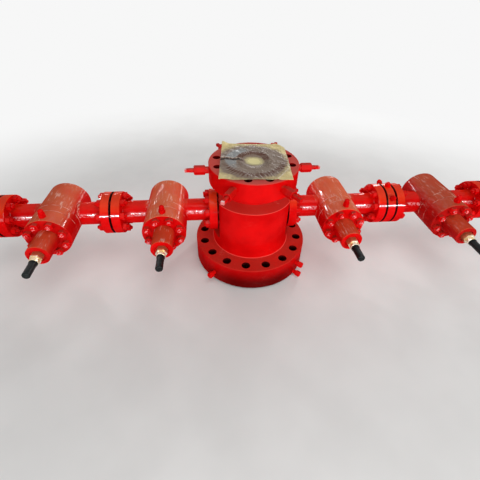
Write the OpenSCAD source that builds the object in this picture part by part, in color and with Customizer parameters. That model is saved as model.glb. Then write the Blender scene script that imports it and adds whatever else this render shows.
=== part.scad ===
// Tubing head with two side arms of gate valves, standing on its lower flange.
// Origin: centre of the lower flange's sealing face. X runs along the arms, Z is up,
// and the valve bonnets point towards -Y. Millimetres.

/* [Lower flange] */
// Outside diameter of the lower flange
low_od = 654; // [600:1:720]
// Thickness of the lower flange with its raised face
low_t = 141.3; // [110:0.1:170]
// Diameter of the lower raised face
low_face_d = 476; // [440:1:500]
// Bolt circle diameter of the lower flange
low_pcd = 565.2; // [550:0.1:580]
// Number of bolt holes in the lower flange
low_holes = 16; // [8:4:20]
// Diameter of the lower bolt holes
low_hole_d = 47.6; // [30:0.1:52]
// Outside diameter of the lower ring groove
low_groove_od = 357.2; // [345:0.1:380]
// Width of the lower ring groove
low_groove_w = 29.2; // [15:0.1:32]
// Depth of the lower ring groove
low_groove_t = 14.3; // [8:0.1:20]
// Diameter of the pocket that opens downwards
pocket_d = 279.4; // [220:0.1:285]
// Depth of the straight part of the pocket
pocket_t = 110; // [60:1:130]

/* [Barrel] */
// Diameter of the barrel
barrel_d = 444; // [420:1:460]
// Height of the barrel's upper edge
barrel_top = 442; // [430:1:448]
// Radius of the fillet at the barrel's foot
foot_r = 6; // [3:1:24]
// Height of the lower end of the outlet flats
flat_z = 206; // [195:1:212]
// Diameter of the through bore
through_d = 160; // [120:1:170]
// Height of the cone between pocket and through bore
pocket_cone = 60; // [40:1:80]

/* [Upper flange] */
// Overall height from sealing face to sealing face
head_h = 639; // [620:1:655]
// Outside diameter of the upper flange
top_od = 479.4; // [460:0.1:500]
// Thickness of the upper flange's rim
top_t = 110; // [95:1:125]
// Diameter of the upper raised face
top_face_d = 301.8; // [280:0.1:330]
// Bolt circle diameter of the upper flange
top_pcd = 403.2; // [395:0.1:415]
// Number of bolt holes in the upper flange
top_holes = 12; // [6:6:12]
// Diameter of the upper bolt holes
top_hole_d = 41.1; // [25:0.1:42]
// Outside diameter of the upper ring groove
top_groove_od = 241.8; // [235:0.1:270]
// Width of the upper ring groove
top_groove_w = 23.4; // [12:0.1:24]
// Depth of the upper ring groove
top_groove_t = 11.1; // [6:0.1:15]
// Diameter of the bowl under the upper face
bowl_d = 179.4; // [172:0.1:190]
// Depth of the bowl
bowl_t = 150; // [130:1:170]
// Neck diameter at the underside of the upper flange
neck_d = 332; // [300:1:336]
// Neck diameter where it meets the barrel's shoulder
neck_foot_d = 356; // [340:1:370]
// Height of the sloping shoulder between barrel and neck
shoulder_h = 33; // [20:1:40]
// Radius of the upper rim's rounded lower edge
rim_r = 9; // [3:1:15]

/* [Edges] */
// Height of every large raised face
face_h = 6; // [3:0.5:8]
// Chamfer on the large flange rims
rim_chamfer = 4; // [1:0.5:8]
// Chamfer on small turned edges
edge = 2; // [0.5:0.5:3]
// Running gap between pieces that fit in each other
gap = 0.3; // [0.1:0.05:0.5]

/* [Lock screws] */
// Number of lock screws round the upper rim
screw_count = 6; // [3:3:6]
// Distance of the lock screws below the upper raised face
screw_drop = 52; // [45:1:60]
// Width across flats of a gland nut
gland_af = 45; // [36:1:50]
// Length of a gland nut's hexagon
gland_len = 60; // [40:1:80]
// Chamfer on both ends of a gland nut's hexagon
gland_edge = 4; // [2:0.5:5]
// Width of the countersink in a gland nut's mouth
gland_mouth = 4; // [2:0.5:6]
// Length of the round neck between rim and hexagon
gland_neck = 17; // [8:1:30]
// Diameter of the gland's shank in its port
gland_shank_d = 38; // [30:0.5:40]
// Length of the gland's shank inside the rim
gland_shank = 42; // [25:1:60]
// Diameter of a lock screw
pin_d = 24; // [16:0.5:26]
// Length that a lock screw stands out of its gland
pin_out = 48; // [30:1:60]
// Length of the square end of a lock screw
pin_square = 24; // [10:1:28]

/* [Arm flanges] */
// Height of the arms' axis above the lower sealing face
arm_z = 333; // [328:1:338]
// Distance from the head's axis to the outlet sealing faces
seat_x = 193; // [190:0.5:205]
// Outside diameter of the arm flanges
arm_od = 231.8; // [225:0.1:240]
// Thickness of the arm flanges with their raised face
arm_t = 50.8; // [40:0.1:60]
// Diameter of the arm flanges' raised face
arm_face_d = 131.8; // [110:0.1:150]
// Height of the arm flanges' raised face
arm_face_h = 3.5; // [1:0.1:6]
// Bolt circle diameter of the arm flanges
arm_pcd = 184.2; // [178:0.1:190]
// Number of bolt holes in an arm flange
arm_holes = 8; // [4:4:8]
// Diameter of the arm flanges' bolt holes
arm_hole_d = 25.4; // [18:0.1:28]
// Bore of the arms
arm_bore = 65.1; // [50:0.1:70]
// Outside diameter of the arms' ring grooves
arm_groove_od = 102.8; // [95:0.1:108]
// Width of the arms' ring grooves
arm_groove_w = 14.1; // [8:0.1:14.4]
// Depth of the arms' ring grooves
arm_groove_t = 6.75; // [3:0.05:9]
// Diameter of the tapped stud holes in the head
tapped_d = 22.2; // [16:0.1:24]
// Depth of the tapped stud holes in the head
tapped_t = 35; // [20:1:45]

/* [Gate valves] */
// Distance between the two sealing faces of a valve
valve_len = 575; // [540:1:620]
// Diameter of a valve body
body_d = 226; // [210:1:234]
// Distance from the valve's bore axis to the back of its body
body_back = 152; // [130:1:175]
// Distance from the valve's bore axis to the joint with the bonnet
body_front = 120; // [112:1:130]
// Distance from the valve's bore axis to the turned line in front of its necks
line_front = 72; // [68:1:84]
// Depth of that turned line
line_t = 1.5; // [0.5:0.5:3]
// Diameter of the valve's round necks
valve_neck_d = 126; // [105:1:130]
// Radius of the fillet between neck and flange
valve_neck_r = 7; // [3:1:9]
// Half thickness of the closed gate
gate_half = 24; // [15:1:35]
// Depth of the joint groove between body and bonnet
joint_t = 2; // [0.5:0.5:4]
// Width of the chamfer at the body's back edge
back_edge = 8; // [2:1:16]

/* [Bonnets] */
// Length of the bonnet's bolted drum
drum_len = 84; // [74:1:95]
// Diameter of the bonnet's tube
tube_d = 110; // [100:1:122]
// Length of the bonnet's tube in front of the drum
tube_len = 127; // [90:1:150]
// Bolt circle diameter of the bonnet
bonnet_pcd = 178; // [170:1:182]
// Number of bonnet bolts
bonnet_holes = 8; // [4:4:8]
// Diameter of the round recess in the tube's end
recess_d = 72; // [64:1:84]
// Depth of the recess in the tube's end
recess_t = 6; // [2:1:12]
// Width across flats of the packing nut
packing_af = 50; // [40:1:54]
// Length of the packing nut's hexagon
packing_len = 33; // [20:1:44]
// Diameter of the packing nut's round collar
collar_d = 44; // [38:1:48]
// Length of the packing nut's round collar
collar_len = 20; // [8:1:28]
// Diameter of the packing nut's shank in the tube
packing_shank_d = 46; // [34:1:50]
// Length of the packing nut's shank in the tube
packing_shank = 40; // [20:1:60]

/* [Stem caps] */
// Diameter of a stem cap
cap_d = 36; // [28:1:40]
// Length of a stem cap
cap_len = 84; // [60:1:120]
// Diameter of the lip at the cap's open end
cap_lip_d = 40; // [36:1:46]
// Length of the lip
cap_lip = 8; // [3:1:16]
// Radius of the cap's rounded tip
cap_tip_r = 8; // [3:1:12]

/* [Fittings] */
// Distance of a valve's grease fitting in front of the bore axis
grease_y = 175; // [160:1:182]
// Width across flats of a grease fitting
grease_af = 30; // [20:1:34]
// Height of a grease fitting's hexagon
grease_hex = 22; // [12:1:30]
// Diameter of a grease fitting's cap
grease_cap_d = 25; // [16:1:30]
// Height of a grease fitting's cap
grease_cap = 22; // [12:1:30]
// Diameter of the thread of a grease fitting, test fitting or plug
fitting_thread_d = 18; // [12:1:20]
// Depth of the thread of a grease fitting, test fitting or plug
fitting_thread = 20; // [12:1:24]
// Diameter of a test fitting's round collar
test_collar_d = 24; // [22:1:28]
// Length of a test fitting's round collar
test_collar = 18; // [10:1:24]
// Width across flats of a test fitting's cap
test_af = 30; // [24:1:32]
// Length of a test fitting's cap
test_cap = 26; // [16:1:32]
// Height of the left test fitting in the lower rim
test_left_z = 60; // [40:1:90]
// Direction of the left test fitting
test_left_deg = 226; // [222:1:230]
// Height of the upper right test fitting in the lower rim
test_right_z = 85; // [75:1:100]
// Direction of the upper right test fitting
test_right_deg = 318; // [312:1:320]
// Height of the lower right test fitting in the lower rim
test_low_z = 23; // [22:1:35]
// Direction of the lower right test fitting
test_low_deg = 316; // [312:1:320]

/* [Spacer flange] */
// Thickness between the spacer's two sealing faces
spacer_t = 57; // [45:1:70]
// Width across flats of the plugs round the spacer
plug_af = 30; // [20:1:34]
// Height of the plugs' hexagon
plug_hex = 18; // [8:1:24]
// Diameter of the plugs' round end
plug_cap_d = 22; // [14:1:26]
// Height of the plugs' round end
plug_cap = 10; // [4:1:16]
// Angle between two neighbouring plugs
plug_step = 44; // [35:1:60]
// Number of plugs over the spacer's top
plug_count = 3; // [1:2:3]

/* [End flanges] */
// Diameter of the end flanges' hub
hub_d = 112; // [95:1:125]
// Length of the end flanges' hub
hub_len = 34; // [20:1:60]
// Bore of the threaded end flanges
end_bore = 68; // [55:0.5:80]

/* [Paper cover] */
// Diameter of the paper cover over the bowl
paper_d = 356; // [320:1:360]
// Thickness of the paper cover
paper_t = 1; // [0.5:0.1:2]

/* [Hidden] */

$fn = 96;
paint = [0.84, 0.07, 0.07];
brass = [0.80, 0.66, 0.34];
rubber = [0.05, 0.05, 0.06];
paper = [0.78, 0.75, 0.55];

// How far a cutting tool runs past the face that it cuts
past = 1;
// Height of the upper rim's upper and lower faces
rim_z = head_h - face_h;
rim_low_z = rim_z - top_t;
// Height of the shoulder's upper end and of the through bore's ends
neck_z = barrel_top + shoulder_h;
bowl_z = head_h - bowl_t;
pocket_z = pocket_t + pocket_cone;
// Distance from the axis to each outlet flat
flat_x = seat_x - arm_face_h;
// Height and reach of the lock screws
screw_z = head_h - screw_drop;
gland_in = top_od / 2 - gland_shank;
gland_hex_in = top_od / 2 + gland_neck;
gland_out = gland_hex_in + gland_len;
pin_tip = gland_out + pin_out;
pin_nose = bowl_d / 2 + edge;
pin_bore_d = pin_d + 2 * gap;
// Width across flats of a lock screw's square end, whose corners lie in its round
pin_square_af = pin_d / sqrt(2) - gap;
// Places of the four valves along X
inner_x = seat_x + valve_len / 2;
left_outer_x = inner_x + valve_len;
right_outer_x = inner_x + valve_len + spacer_t;
spacer_x = seat_x + valve_len;
left_end_x = left_outer_x + valve_len / 2;
right_end_x = right_outer_x + valve_len / 2;
// Places along a bonnet, measured from the valve's bore axis
drum_front = body_front + drum_len;
tube_front = drum_front + tube_len;
packing_back = tube_front - recess_t;
packing_front = packing_back + packing_len;
collar_front = packing_front + collar_len;

// Hexagonal bar of a given width across flats, standing on z = 0
module hexagon(af, h) {
  cylinder(d = af / cos(30), h = h, $fn = 6);
}

// Turned bar with a chamfer at both ends, standing on z = 0
module turned(d, h, c) {
  rotate_extrude()
    polygon([[0, 0], [d / 2 - c, 0], [d / 2, c], [d / 2, h - c], [d / 2 - c, h], [0, h]]);
}

// Ring groove cut into a face at z = 0 and reaching down to z = -depth
module ring_groove(od, w, depth) {
  translate([0, 0, -depth])
    difference() {
      cylinder(d = od, h = depth + past);
      translate([0, 0, -past])
        cylinder(d = od - 2 * w, h = depth + 3 * past);
    }
}

// Circle of holes that straddle the two centre lines, from z = 0 up to z = h
module hole_circle(pcd, count, d, h) {
  for (i = [0 : count - 1])
    rotate([0, 0, (i + 0.5) * 360 / count])
      translate([pcd / 2, 0, 0])
        cylinder(d = d, h = h);
}

// Lays a child that stands along +Z so that it points along +X from the arm's axis
module along_arm(x) {
  translate([x, 0, arm_z])
    rotate([0, 90, 0])
      children();
}

// Outer shape of the head, as a half section turned about Z
module head_outline() {
  low_r = low_od / 2;
  barrel_r = barrel_d / 2;
  top_r = top_od / 2;
  rotate_extrude()
    difference() {
      polygon([
        [0, 0], [low_face_d / 2, 0], [low_face_d / 2, face_h],
        [low_r - rim_chamfer, face_h], [low_r, face_h + rim_chamfer],
        [low_r, low_t - rim_chamfer], [low_r - rim_chamfer, low_t],
        [barrel_r + foot_r, low_t], [barrel_r, low_t + foot_r],
        [barrel_r, barrel_top], [neck_foot_d / 2, neck_z],
        [neck_d / 2, rim_low_z], [top_r - rim_r, rim_low_z],
        [top_r, rim_low_z + rim_r], [top_r, rim_z - rim_chamfer],
        [top_r - rim_chamfer, rim_z], [top_face_d / 2, rim_z],
        [top_face_d / 2, head_h], [0, head_h]
      ]);
      translate([barrel_r + foot_r, low_t + foot_r])
        circle(r = foot_r);
    }
  // Rounded lower edge of the upper rim
  translate([0, 0, rim_low_z + rim_r])
    rotate_extrude()
      translate([top_r - rim_r, 0])
        intersection() {
          circle(r = rim_r);
          translate([0, -rim_r])
            square([rim_r, rim_r]);
        }
}

// Pocket, through bore and bowl, as one turned cut
module head_bore() {
  rotate_extrude()
    polygon([
      [0, -past], [pocket_d / 2, -past], [pocket_d / 2, pocket_t],
      [through_d / 2, pocket_z], [through_d / 2, bowl_z - (bowl_d - through_d) / 2],
      [bowl_d / 2, bowl_z], [bowl_d / 2, head_h + past], [0, head_h + past]
    ]);
}

// Flat, bore, groove and tapped holes of the outlet that points along +X
module outlet_cut() {
  translate([flat_x, -barrel_d / 2, flat_z])
    difference() {
      cube([barrel_d / 2, barrel_d, neck_z - flat_z]);
      translate([-past, barrel_d / 2, arm_z - flat_z])
        rotate([0, 90, 0])
          cylinder(d = arm_face_d, h = arm_face_h + past);
    }
  along_arm(0)
    cylinder(d = arm_bore, h = seat_x + barrel_d / 2);
  along_arm(seat_x)
    ring_groove(arm_groove_od, arm_groove_w, arm_groove_t);
  along_arm(flat_x - tapped_t)
    hole_circle(arm_pcd, arm_holes, tapped_d, tapped_t + past);
}

// Port of the lock screw that points along +X
module screw_port() {
  start = (bowl_d - pin_d) / 2;
  translate([0, 0, screw_z])
    rotate([0, 90, 0]) {
      translate([0, 0, start])
        cylinder(d = pin_bore_d, h = top_od / 2 + past - start);
      translate([0, 0, gland_in - gap])
        cylinder(d = gland_shank_d + 2 * gap, h = gland_shank + past);
    }
}

// Puts a child that stands along +Z on the lower rim, deg about Z and at height z
module at_low_rim(deg, z) {
  rotate([0, 0, deg])
    translate([low_od / 2, 0, z])
      rotate([0, 90, 0])
        children();
}

// Threaded hole for a fitting or plug, below z = 0
module fitting_port() {
  translate([0, 0, -fitting_thread - gap])
    cylinder(d = fitting_thread_d + 2 * gap, h = fitting_thread + gap + past);
}

module head_body() color(paint) {
  difference() {
    head_outline();
    head_bore();
    rotate([180, 0, 0])
      ring_groove(low_groove_od, low_groove_w, low_groove_t);
    translate([0, 0, head_h])
      ring_groove(top_groove_od, top_groove_w, top_groove_t);
    hole_circle(low_pcd, low_holes, low_hole_d, low_t + past);
    translate([0, 0, rim_low_z - past])
      hole_circle(top_pcd, top_holes, top_hole_d, top_t + 2 * past);
    outlet_cut();
    rotate([0, 0, 180])
      outlet_cut();
    for (i = [0 : screw_count - 1])
      rotate([0, 0, i * 360 / screw_count])
        screw_port();
    at_low_rim(test_left_deg, test_left_z)
      fitting_port();
    at_low_rim(test_right_deg, test_right_z)
      fitting_port();
    at_low_rim(test_low_deg, test_low_z)
      fitting_port();
  }
}

// Gland nut number i: shank in the port, round neck and hexagon outside
module screw_gland(i) color(paint) {
  rotate([0, 0, i * 360 / screw_count])
    translate([0, 0, screw_z])
      rotate([0, 90, 0])
        difference() {
          union() {
            translate([0, 0, gland_in])
              cylinder(d = gland_shank_d, h = gland_out - gland_edge - gland_in);
            translate([0, 0, gland_hex_in])
              intersection() {
                rotate([0, 0, 30])
                  hexagon(gland_af, gland_len);
                turned(gland_af / cos(30), gland_len, gland_edge);
              }
          }
          translate([0, 0, gland_in - past])
            cylinder(d = pin_bore_d, h = gland_out - gland_in + 2 * past);
          translate([0, 0, gland_out - gland_mouth])
            cylinder(d1 = pin_bore_d, d2 = pin_bore_d + 4 * gland_mouth, h = 2 * gland_mouth);
        }
}

// Lock screw number i: conical nose, round shank and square outer end
module lock_screw(i) color(paint) {
  rotate([0, 0, i * 360 / screw_count])
    translate([0, 0, screw_z])
      rotate([0, 90, 0]) {
        rotate_extrude()
          polygon([
            [0, pin_nose], [pin_d / 4, pin_nose], [pin_d / 2, pin_nose + pin_d / 4],
            [pin_d / 2, pin_tip - pin_square], [0, pin_tip - pin_square]
          ]);
        translate([-pin_square_af / 2, -pin_square_af / 2, pin_tip - pin_square - past])
          cube([pin_square_af, pin_square_af, pin_square + past]);
      }
}

// Arm flange whose sealing face lies on z = 0 and whose body lies above it
module arm_flange(thickness) {
  cylinder(d = arm_face_d, h = thickness);
  translate([0, 0, arm_face_h])
    turned(arm_od, thickness - arm_face_h, edge);
}

// Holes, groove and bore of an arm flange at z = 0
module arm_flange_cut(thickness, bore_depth) {
  translate([0, 0, -past])
    hole_circle(arm_pcd, arm_holes, arm_hole_d, thickness + 2 * past);
  rotate([180, 0, 0])
    ring_groove(arm_groove_od, arm_groove_w, arm_groove_t);
  translate([0, 0, -past])
    cylinder(d = arm_bore, h = bore_depth + past);
}

// One end of a valve: flange, fillet and neck up to the bore axis of the gate
module valve_end() {
  arm_flange(arm_t);
  cylinder(d = valve_neck_d, h = valve_len / 2);
  translate([0, 0, arm_t])
    rotate_extrude()
      difference() {
        square([valve_neck_d / 2 + valve_neck_r, valve_neck_r]);
        translate([valve_neck_d / 2 + valve_neck_r, valve_neck_r])
          circle(r = valve_neck_r);
      }
}

// Round body of a valve, lying along Y, with a turned line and half of its joint groove
module valve_drum() {
  r = body_d / 2;
  rotate([90, 0, 0])
    rotate_extrude()
      polygon([
        [0, -body_back], [r - back_edge, -body_back], [r, back_edge - body_back],
        [r, line_front - line_t], [r - line_t, line_front], [r, line_front + line_t],
        [r, body_front - joint_t], [r - joint_t, body_front], [0, body_front]
      ]);
}

// Valve body centred on its bore axis, with the closed gate left between its bores
module valve_body(x) color(paint) {
  translate([x, 0, arm_z])
    difference() {
      union() {
        valve_drum();
        for (turn = [90, -90])
          rotate([0, turn, 0])
            translate([0, 0, -valve_len / 2])
              valve_end();
      }
      for (turn = [90, -90])
        rotate([0, turn, 0])
          translate([0, 0, -valve_len / 2])
            arm_flange_cut(arm_t, valve_len / 2 - gate_half);
    }
}

// Bonnet: bolted drum and tube, laid along -Y in front of the valve body
module bonnet(x) color(paint) {
  r = body_d / 2;
  translate([x, 0, arm_z])
    rotate([90, 0, 0])
      difference() {
        rotate_extrude()
          polygon([
            [0, body_front], [r - joint_t, body_front], [r, body_front + joint_t],
            [r, drum_front - edge], [r - edge, drum_front],
            [tube_d / 2, drum_front], [tube_d / 2, tube_front - edge],
            [tube_d / 2 - edge, tube_front], [0, tube_front]
          ]);
        translate([0, 0, body_front - past])
          hole_circle(bonnet_pcd, bonnet_holes, arm_hole_d, drum_len + 2 * past);
        translate([0, 0, packing_back])
          cylinder(d = recess_d, h = recess_t + past);
        translate([0, 0, packing_back - packing_shank - gap])
          cylinder(d = packing_shank_d + 2 * gap, h = packing_shank + gap + past);
        translate([0, r, grease_y])
          rotate([-90, 0, 0])
            fitting_port();
      }
}

// Brass packing nut in the end of the bonnet's tube
module packing_nut(x) color(brass) {
  translate([x, 0, arm_z])
    rotate([90, 0, 0]) {
      translate([0, 0, packing_back - packing_shank])
        cylinder(d = packing_shank_d, h = packing_shank + past);
      translate([0, 0, packing_back])
        turned_hexagon(packing_af, packing_len);
      translate([0, 0, packing_back])
        turned(collar_d, packing_len + collar_len, edge);
    }
}

// Rubber cap over the stem's end: lip, sleeve and rounded tip
module stem_cap(x) color(rubber) {
  r = cap_d / 2;
  translate([x, 0, arm_z])
    rotate([90, 0, 0])
      translate([0, 0, collar_front])
        rotate_extrude()
          union() {
            polygon([
              [0, 0], [cap_lip_d / 2, 0], [cap_lip_d / 2, cap_lip], [r, cap_lip],
              [r, cap_len - cap_tip_r], [r - cap_tip_r, cap_len], [0, cap_len]
            ]);
            intersection() {
              translate([r - cap_tip_r, cap_len - cap_tip_r])
                circle(r = cap_tip_r);
              translate([0, cap_len - cap_tip_r])
                square([r, cap_tip_r]);
            }
          }
}

// Thread of a fitting that stands on z = 0, reaching up into the fitting's body
module fitting_shank() {
  translate([0, 0, gap - fitting_thread])
    cylinder(d = fitting_thread_d, h = fitting_thread - gap + past);
}

// Hexagon with turned ends, standing on z = 0
module turned_hexagon(af, h) {
  intersection() {
    hexagon(af, h);
    turned(af / cos(30), h, edge);
  }
}

// Fitting that stands on z = 0 with its thread below: hexagon and bevelled cap
module fitting(af, hex_h, cap_dia, cap_h) {
  top = hex_h + cap_h;
  bevel = cap_dia / 4;
  fitting_shank();
  turned_hexagon(af, hex_h);
  rotate_extrude()
    polygon([[0, 0], [cap_dia / 2, 0], [cap_dia / 2, top - bevel], [bevel, top], [0, top]]);
}

module grease_fitting(x) color(paint) {
  translate([x, -grease_y, arm_z + body_d / 2])
    fitting(grease_af, grease_hex, grease_cap_d, grease_cap);
}

// Test fitting on the lower rim: round collar and hexagonal cap
module test_fitting(deg, z) color(paint) {
  at_low_rim(deg, z) {
    fitting_shank();
    cylinder(d = test_collar_d, h = test_collar + past);
    translate([0, 0, test_collar])
      turned_hexagon(test_af, test_cap);
  }
}

// Spacer flange with a sealing face on both sides and plugged radial ports
module spacer_flange() color(paint) {
  along_arm(spacer_x)
    difference() {
      union() {
        cylinder(d = arm_face_d, h = spacer_t);
        translate([0, 0, arm_face_h])
          turned(arm_od, spacer_t - 2 * arm_face_h, edge);
      }
      translate([0, 0, -past])
        hole_circle(arm_pcd, arm_holes, arm_hole_d, spacer_t + 2 * past);
      translate([0, 0, -past])
        cylinder(d = arm_bore, h = spacer_t + 2 * past);
      rotate([180, 0, 0])
        ring_groove(arm_groove_od, arm_groove_w, arm_groove_t);
      translate([0, 0, spacer_t])
        ring_groove(arm_groove_od, arm_groove_w, arm_groove_t);
      at_plugs()
        fitting_port();
    }
}

// Puts a child that stands along +Z on the spacer's rim at each plug's place
module at_plugs() {
  for (i = [0 : plug_count - 1])
    translate([0, 0, spacer_t / 2])
      rotate([0, 0, 180 + (i - (plug_count - 1) / 2) * plug_step])
        translate([arm_od / 2, 0, 0])
          rotate([0, 90, 0])
            children();
}

module spacer_plugs() color(paint) {
  along_arm(spacer_x)
    at_plugs()
      fitting(plug_af, plug_hex, plug_cap_d, plug_cap);
}

// End flange whose sealing face lies on z = 0, with a hub and a threaded bore
module end_flange() {
  difference() {
    union() {
      arm_flange(arm_t);
      turned(hub_d, arm_t + hub_len, edge);
    }
    arm_flange_cut(arm_t, arm_t);
    translate([0, 0, -past])
      cylinder(d = end_bore, h = arm_t + hub_len + 2 * past);
  }
}

module left_end_flange() color(paint) {
  translate([-left_end_x, 0, arm_z])
    rotate([0, -90, 0])
      end_flange();
}

module right_end_flange() color(paint) {
  along_arm(right_end_x)
    end_flange();
}

module paper_cover() color(paper) {
  translate([0, 0, head_h])
    cylinder(d = paper_d, h = paper_t);
}

module lock_screw_gland_1() screw_gland(0);
module lock_screw_gland_2() screw_gland(1);
module lock_screw_gland_3() screw_gland(2);
module lock_screw_gland_4() screw_gland(3);
module lock_screw_gland_5() screw_gland(4);
module lock_screw_gland_6() screw_gland(5);
module lock_screw_1() lock_screw(0);
module lock_screw_2() lock_screw(1);
module lock_screw_3() lock_screw(2);
module lock_screw_4() lock_screw(3);
module lock_screw_5() lock_screw(4);
module lock_screw_6() lock_screw(5);
module left_inner_valve_body() valve_body(-inner_x);
module left_outer_valve_body() valve_body(-left_outer_x);
module right_inner_valve_body() valve_body(inner_x);
module right_outer_valve_body() valve_body(right_outer_x);
module left_inner_bonnet() bonnet(-inner_x);
module left_outer_bonnet() bonnet(-left_outer_x);
module right_inner_bonnet() bonnet(inner_x);
module right_outer_bonnet() bonnet(right_outer_x);
module left_inner_packing_nut() packing_nut(-inner_x);
module left_outer_packing_nut() packing_nut(-left_outer_x);
module right_inner_packing_nut() packing_nut(inner_x);
module right_outer_packing_nut() packing_nut(right_outer_x);
module left_inner_stem_cap() stem_cap(-inner_x);
module left_outer_stem_cap() stem_cap(-left_outer_x);
module right_inner_stem_cap() stem_cap(inner_x);
module right_outer_stem_cap() stem_cap(right_outer_x);
module left_inner_grease_fitting() grease_fitting(-inner_x);
module left_outer_grease_fitting() grease_fitting(-left_outer_x);
module right_inner_grease_fitting() grease_fitting(inner_x);
module right_outer_grease_fitting() grease_fitting(right_outer_x);
module left_foot_fitting() test_fitting(test_left_deg, test_left_z);
module right_foot_fitting() test_fitting(test_right_deg, test_right_z);
module right_low_fitting() test_fitting(test_low_deg, test_low_z);

head_body();
lock_screw_gland_1();
lock_screw_gland_2();
lock_screw_gland_3();
lock_screw_gland_4();
lock_screw_gland_5();
lock_screw_gland_6();
lock_screw_1();
lock_screw_2();
lock_screw_3();
lock_screw_4();
lock_screw_5();
lock_screw_6();
left_inner_valve_body();
left_outer_valve_body();
right_inner_valve_body();
right_outer_valve_body();
left_inner_bonnet();
left_outer_bonnet();
right_inner_bonnet();
right_outer_bonnet();
left_inner_packing_nut();
left_outer_packing_nut();
right_inner_packing_nut();
right_outer_packing_nut();
left_inner_stem_cap();
left_outer_stem_cap();
right_inner_stem_cap();
right_outer_stem_cap();
left_inner_grease_fitting();
left_outer_grease_fitting();
right_inner_grease_fitting();
right_outer_grease_fitting();
spacer_flange();
spacer_plugs();
left_end_flange();
right_end_flange();
left_foot_fitting();
right_foot_fitting();
right_low_fitting();
paper_cover();
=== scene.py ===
"""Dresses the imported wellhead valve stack: paint, brass, rubber, studs, nuts and the oiled paper cover.

Everything is in metres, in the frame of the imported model: origin at the centre of the lower flange's
face, X along the two arms, Z up, bonnets towards -Y.
"""
import logging
import math
from dataclasses import dataclass, field
from enum import Enum
from functools import cached_property, reduce

import bpy
import numpy as np
from bpy.types import Material
from mathutils import Matrix, Quaternion, Vector


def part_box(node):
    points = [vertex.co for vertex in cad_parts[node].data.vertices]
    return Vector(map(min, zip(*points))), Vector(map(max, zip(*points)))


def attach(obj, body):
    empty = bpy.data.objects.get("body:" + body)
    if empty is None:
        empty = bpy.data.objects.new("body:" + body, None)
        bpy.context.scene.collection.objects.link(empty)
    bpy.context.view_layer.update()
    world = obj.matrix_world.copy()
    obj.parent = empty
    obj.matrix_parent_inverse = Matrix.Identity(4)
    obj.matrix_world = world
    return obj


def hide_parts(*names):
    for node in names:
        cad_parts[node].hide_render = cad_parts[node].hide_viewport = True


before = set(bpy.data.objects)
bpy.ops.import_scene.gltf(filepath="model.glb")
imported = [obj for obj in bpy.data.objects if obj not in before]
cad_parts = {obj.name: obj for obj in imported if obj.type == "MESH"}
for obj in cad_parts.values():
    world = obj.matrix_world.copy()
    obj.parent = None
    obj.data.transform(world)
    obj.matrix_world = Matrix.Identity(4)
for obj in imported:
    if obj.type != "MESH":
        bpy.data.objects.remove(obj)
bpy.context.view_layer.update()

LOG = logging.getLogger("valve_stack")
MM = 0.001
TAU = 2.0 * math.pi
ARMS = ("left_inner", "left_outer", "right_inner", "right_outer")

Pair = tuple[float, float]
Place = tuple[float, float, float]
Colour = tuple[float, float, float, float]
Array = np.ndarray


# Surfaces as whole arrays


@dataclass
class Surface:
    """A mesh held as arrays.

    Args:
        points: one row of x, y, z for each point.
        quads: one row of four point numbers for each four-sided face.
        tris: one row of three point numbers for each triangle.
    """

    points: Array
    quads: Array
    tris: Array = field(default_factory=lambda: np.zeros((0, 3), int))

    def outward(self) -> "Surface":
        """Turns every face over if the closed surface has a negative volume.

        Returns:
            The same surface, with its faces pointing out. The volume is the sum of
            the signed tetrahedra between each triangle and the origin.
        """
        fans = np.concatenate([self.tris, self.quads[:, [0, 1, 2]], self.quads[:, [0, 2, 3]]])
        a, b, c = (self.points[fans[:, i]] for i in range(3))
        if np.einsum("ij,ij->i", a, np.cross(b, c)).sum() < 0.0:
            self.quads = self.quads[:, ::-1]
            self.tris = self.tris[:, ::-1]
        return self

    def placed(self, places: Array) -> "Surface":
        """Copies the surface to each of a stack of 4 x 4 matrices.

        Args:
            places: array of shape (copies, 4, 4).

        Returns:
            One surface that holds all the copies.
        """
        moved = np.einsum("kij,nj->kni", places[:, :3, :3], self.points) + places[:, None, :3, 3]
        step = np.arange(len(places))[:, None, None] * len(self.points)
        faces = ((part[None] + step).reshape(-1, part.shape[1]) for part in (self.quads, self.tris))
        return Surface(moved.reshape(-1, 3), *faces)


def joined(surfaces: list[Surface]) -> Surface:
    """Joins surfaces into one, keeping each one's faces.

    Args:
        surfaces: the surfaces to join.

    Returns:
        One surface.
    """
    starts = np.cumsum([0] + [len(s.points) for s in surfaces[:-1]])
    return Surface(
        np.concatenate([s.points for s in surfaces]),
        np.concatenate([s.quads + n for s, n in zip(surfaces, starts)]),
        np.concatenate([s.tris + n for s, n in zip(surfaces, starts)]),
    )


def grid_quads(rows: int, cols: int, wrap_rows: bool = False, wrap_cols: bool = False) -> Array:
    """Faces of a grid of points numbered row by row.

    Args:
        rows: number of rows of points.
        cols: number of points in a row.
        wrap_rows: whether the last row joins the first.
        wrap_cols: whether each row closes on itself.

    Returns:
        Array of four point numbers for each face.
    """
    last_row, last_col = rows - (not wrap_rows), cols - (not wrap_cols)
    row, col = np.meshgrid(np.arange(last_row), np.arange(last_col), indexing="ij")
    next_row, next_col = (row + 1) % rows, (col + 1) % cols
    corners = [row * cols + col, row * cols + next_col, next_row * cols + next_col, next_row * cols + col]
    return np.stack(corners, -1).reshape(-1, 4)


def around(radii: Array, heights: Array) -> Array:
    """Points of rings about the Z axis.

    The point in ring i at angle t is (r cos t, r sin t, h), where r and h are
    entry (i, t) of the two arrays, so a ring needn't be a circle or lie flat.

    Args:
        radii: array of shape (rings, points in a ring), in metres.
        heights: array of the same shape.

    Returns:
        One row of x, y, z for each point, ring by ring.
    """
    angle = np.arange(radii.shape[1]) * TAU / radii.shape[1]
    return np.stack([radii * np.cos(angle), radii * np.sin(angle), heights], -1).reshape(-1, 3)


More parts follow.
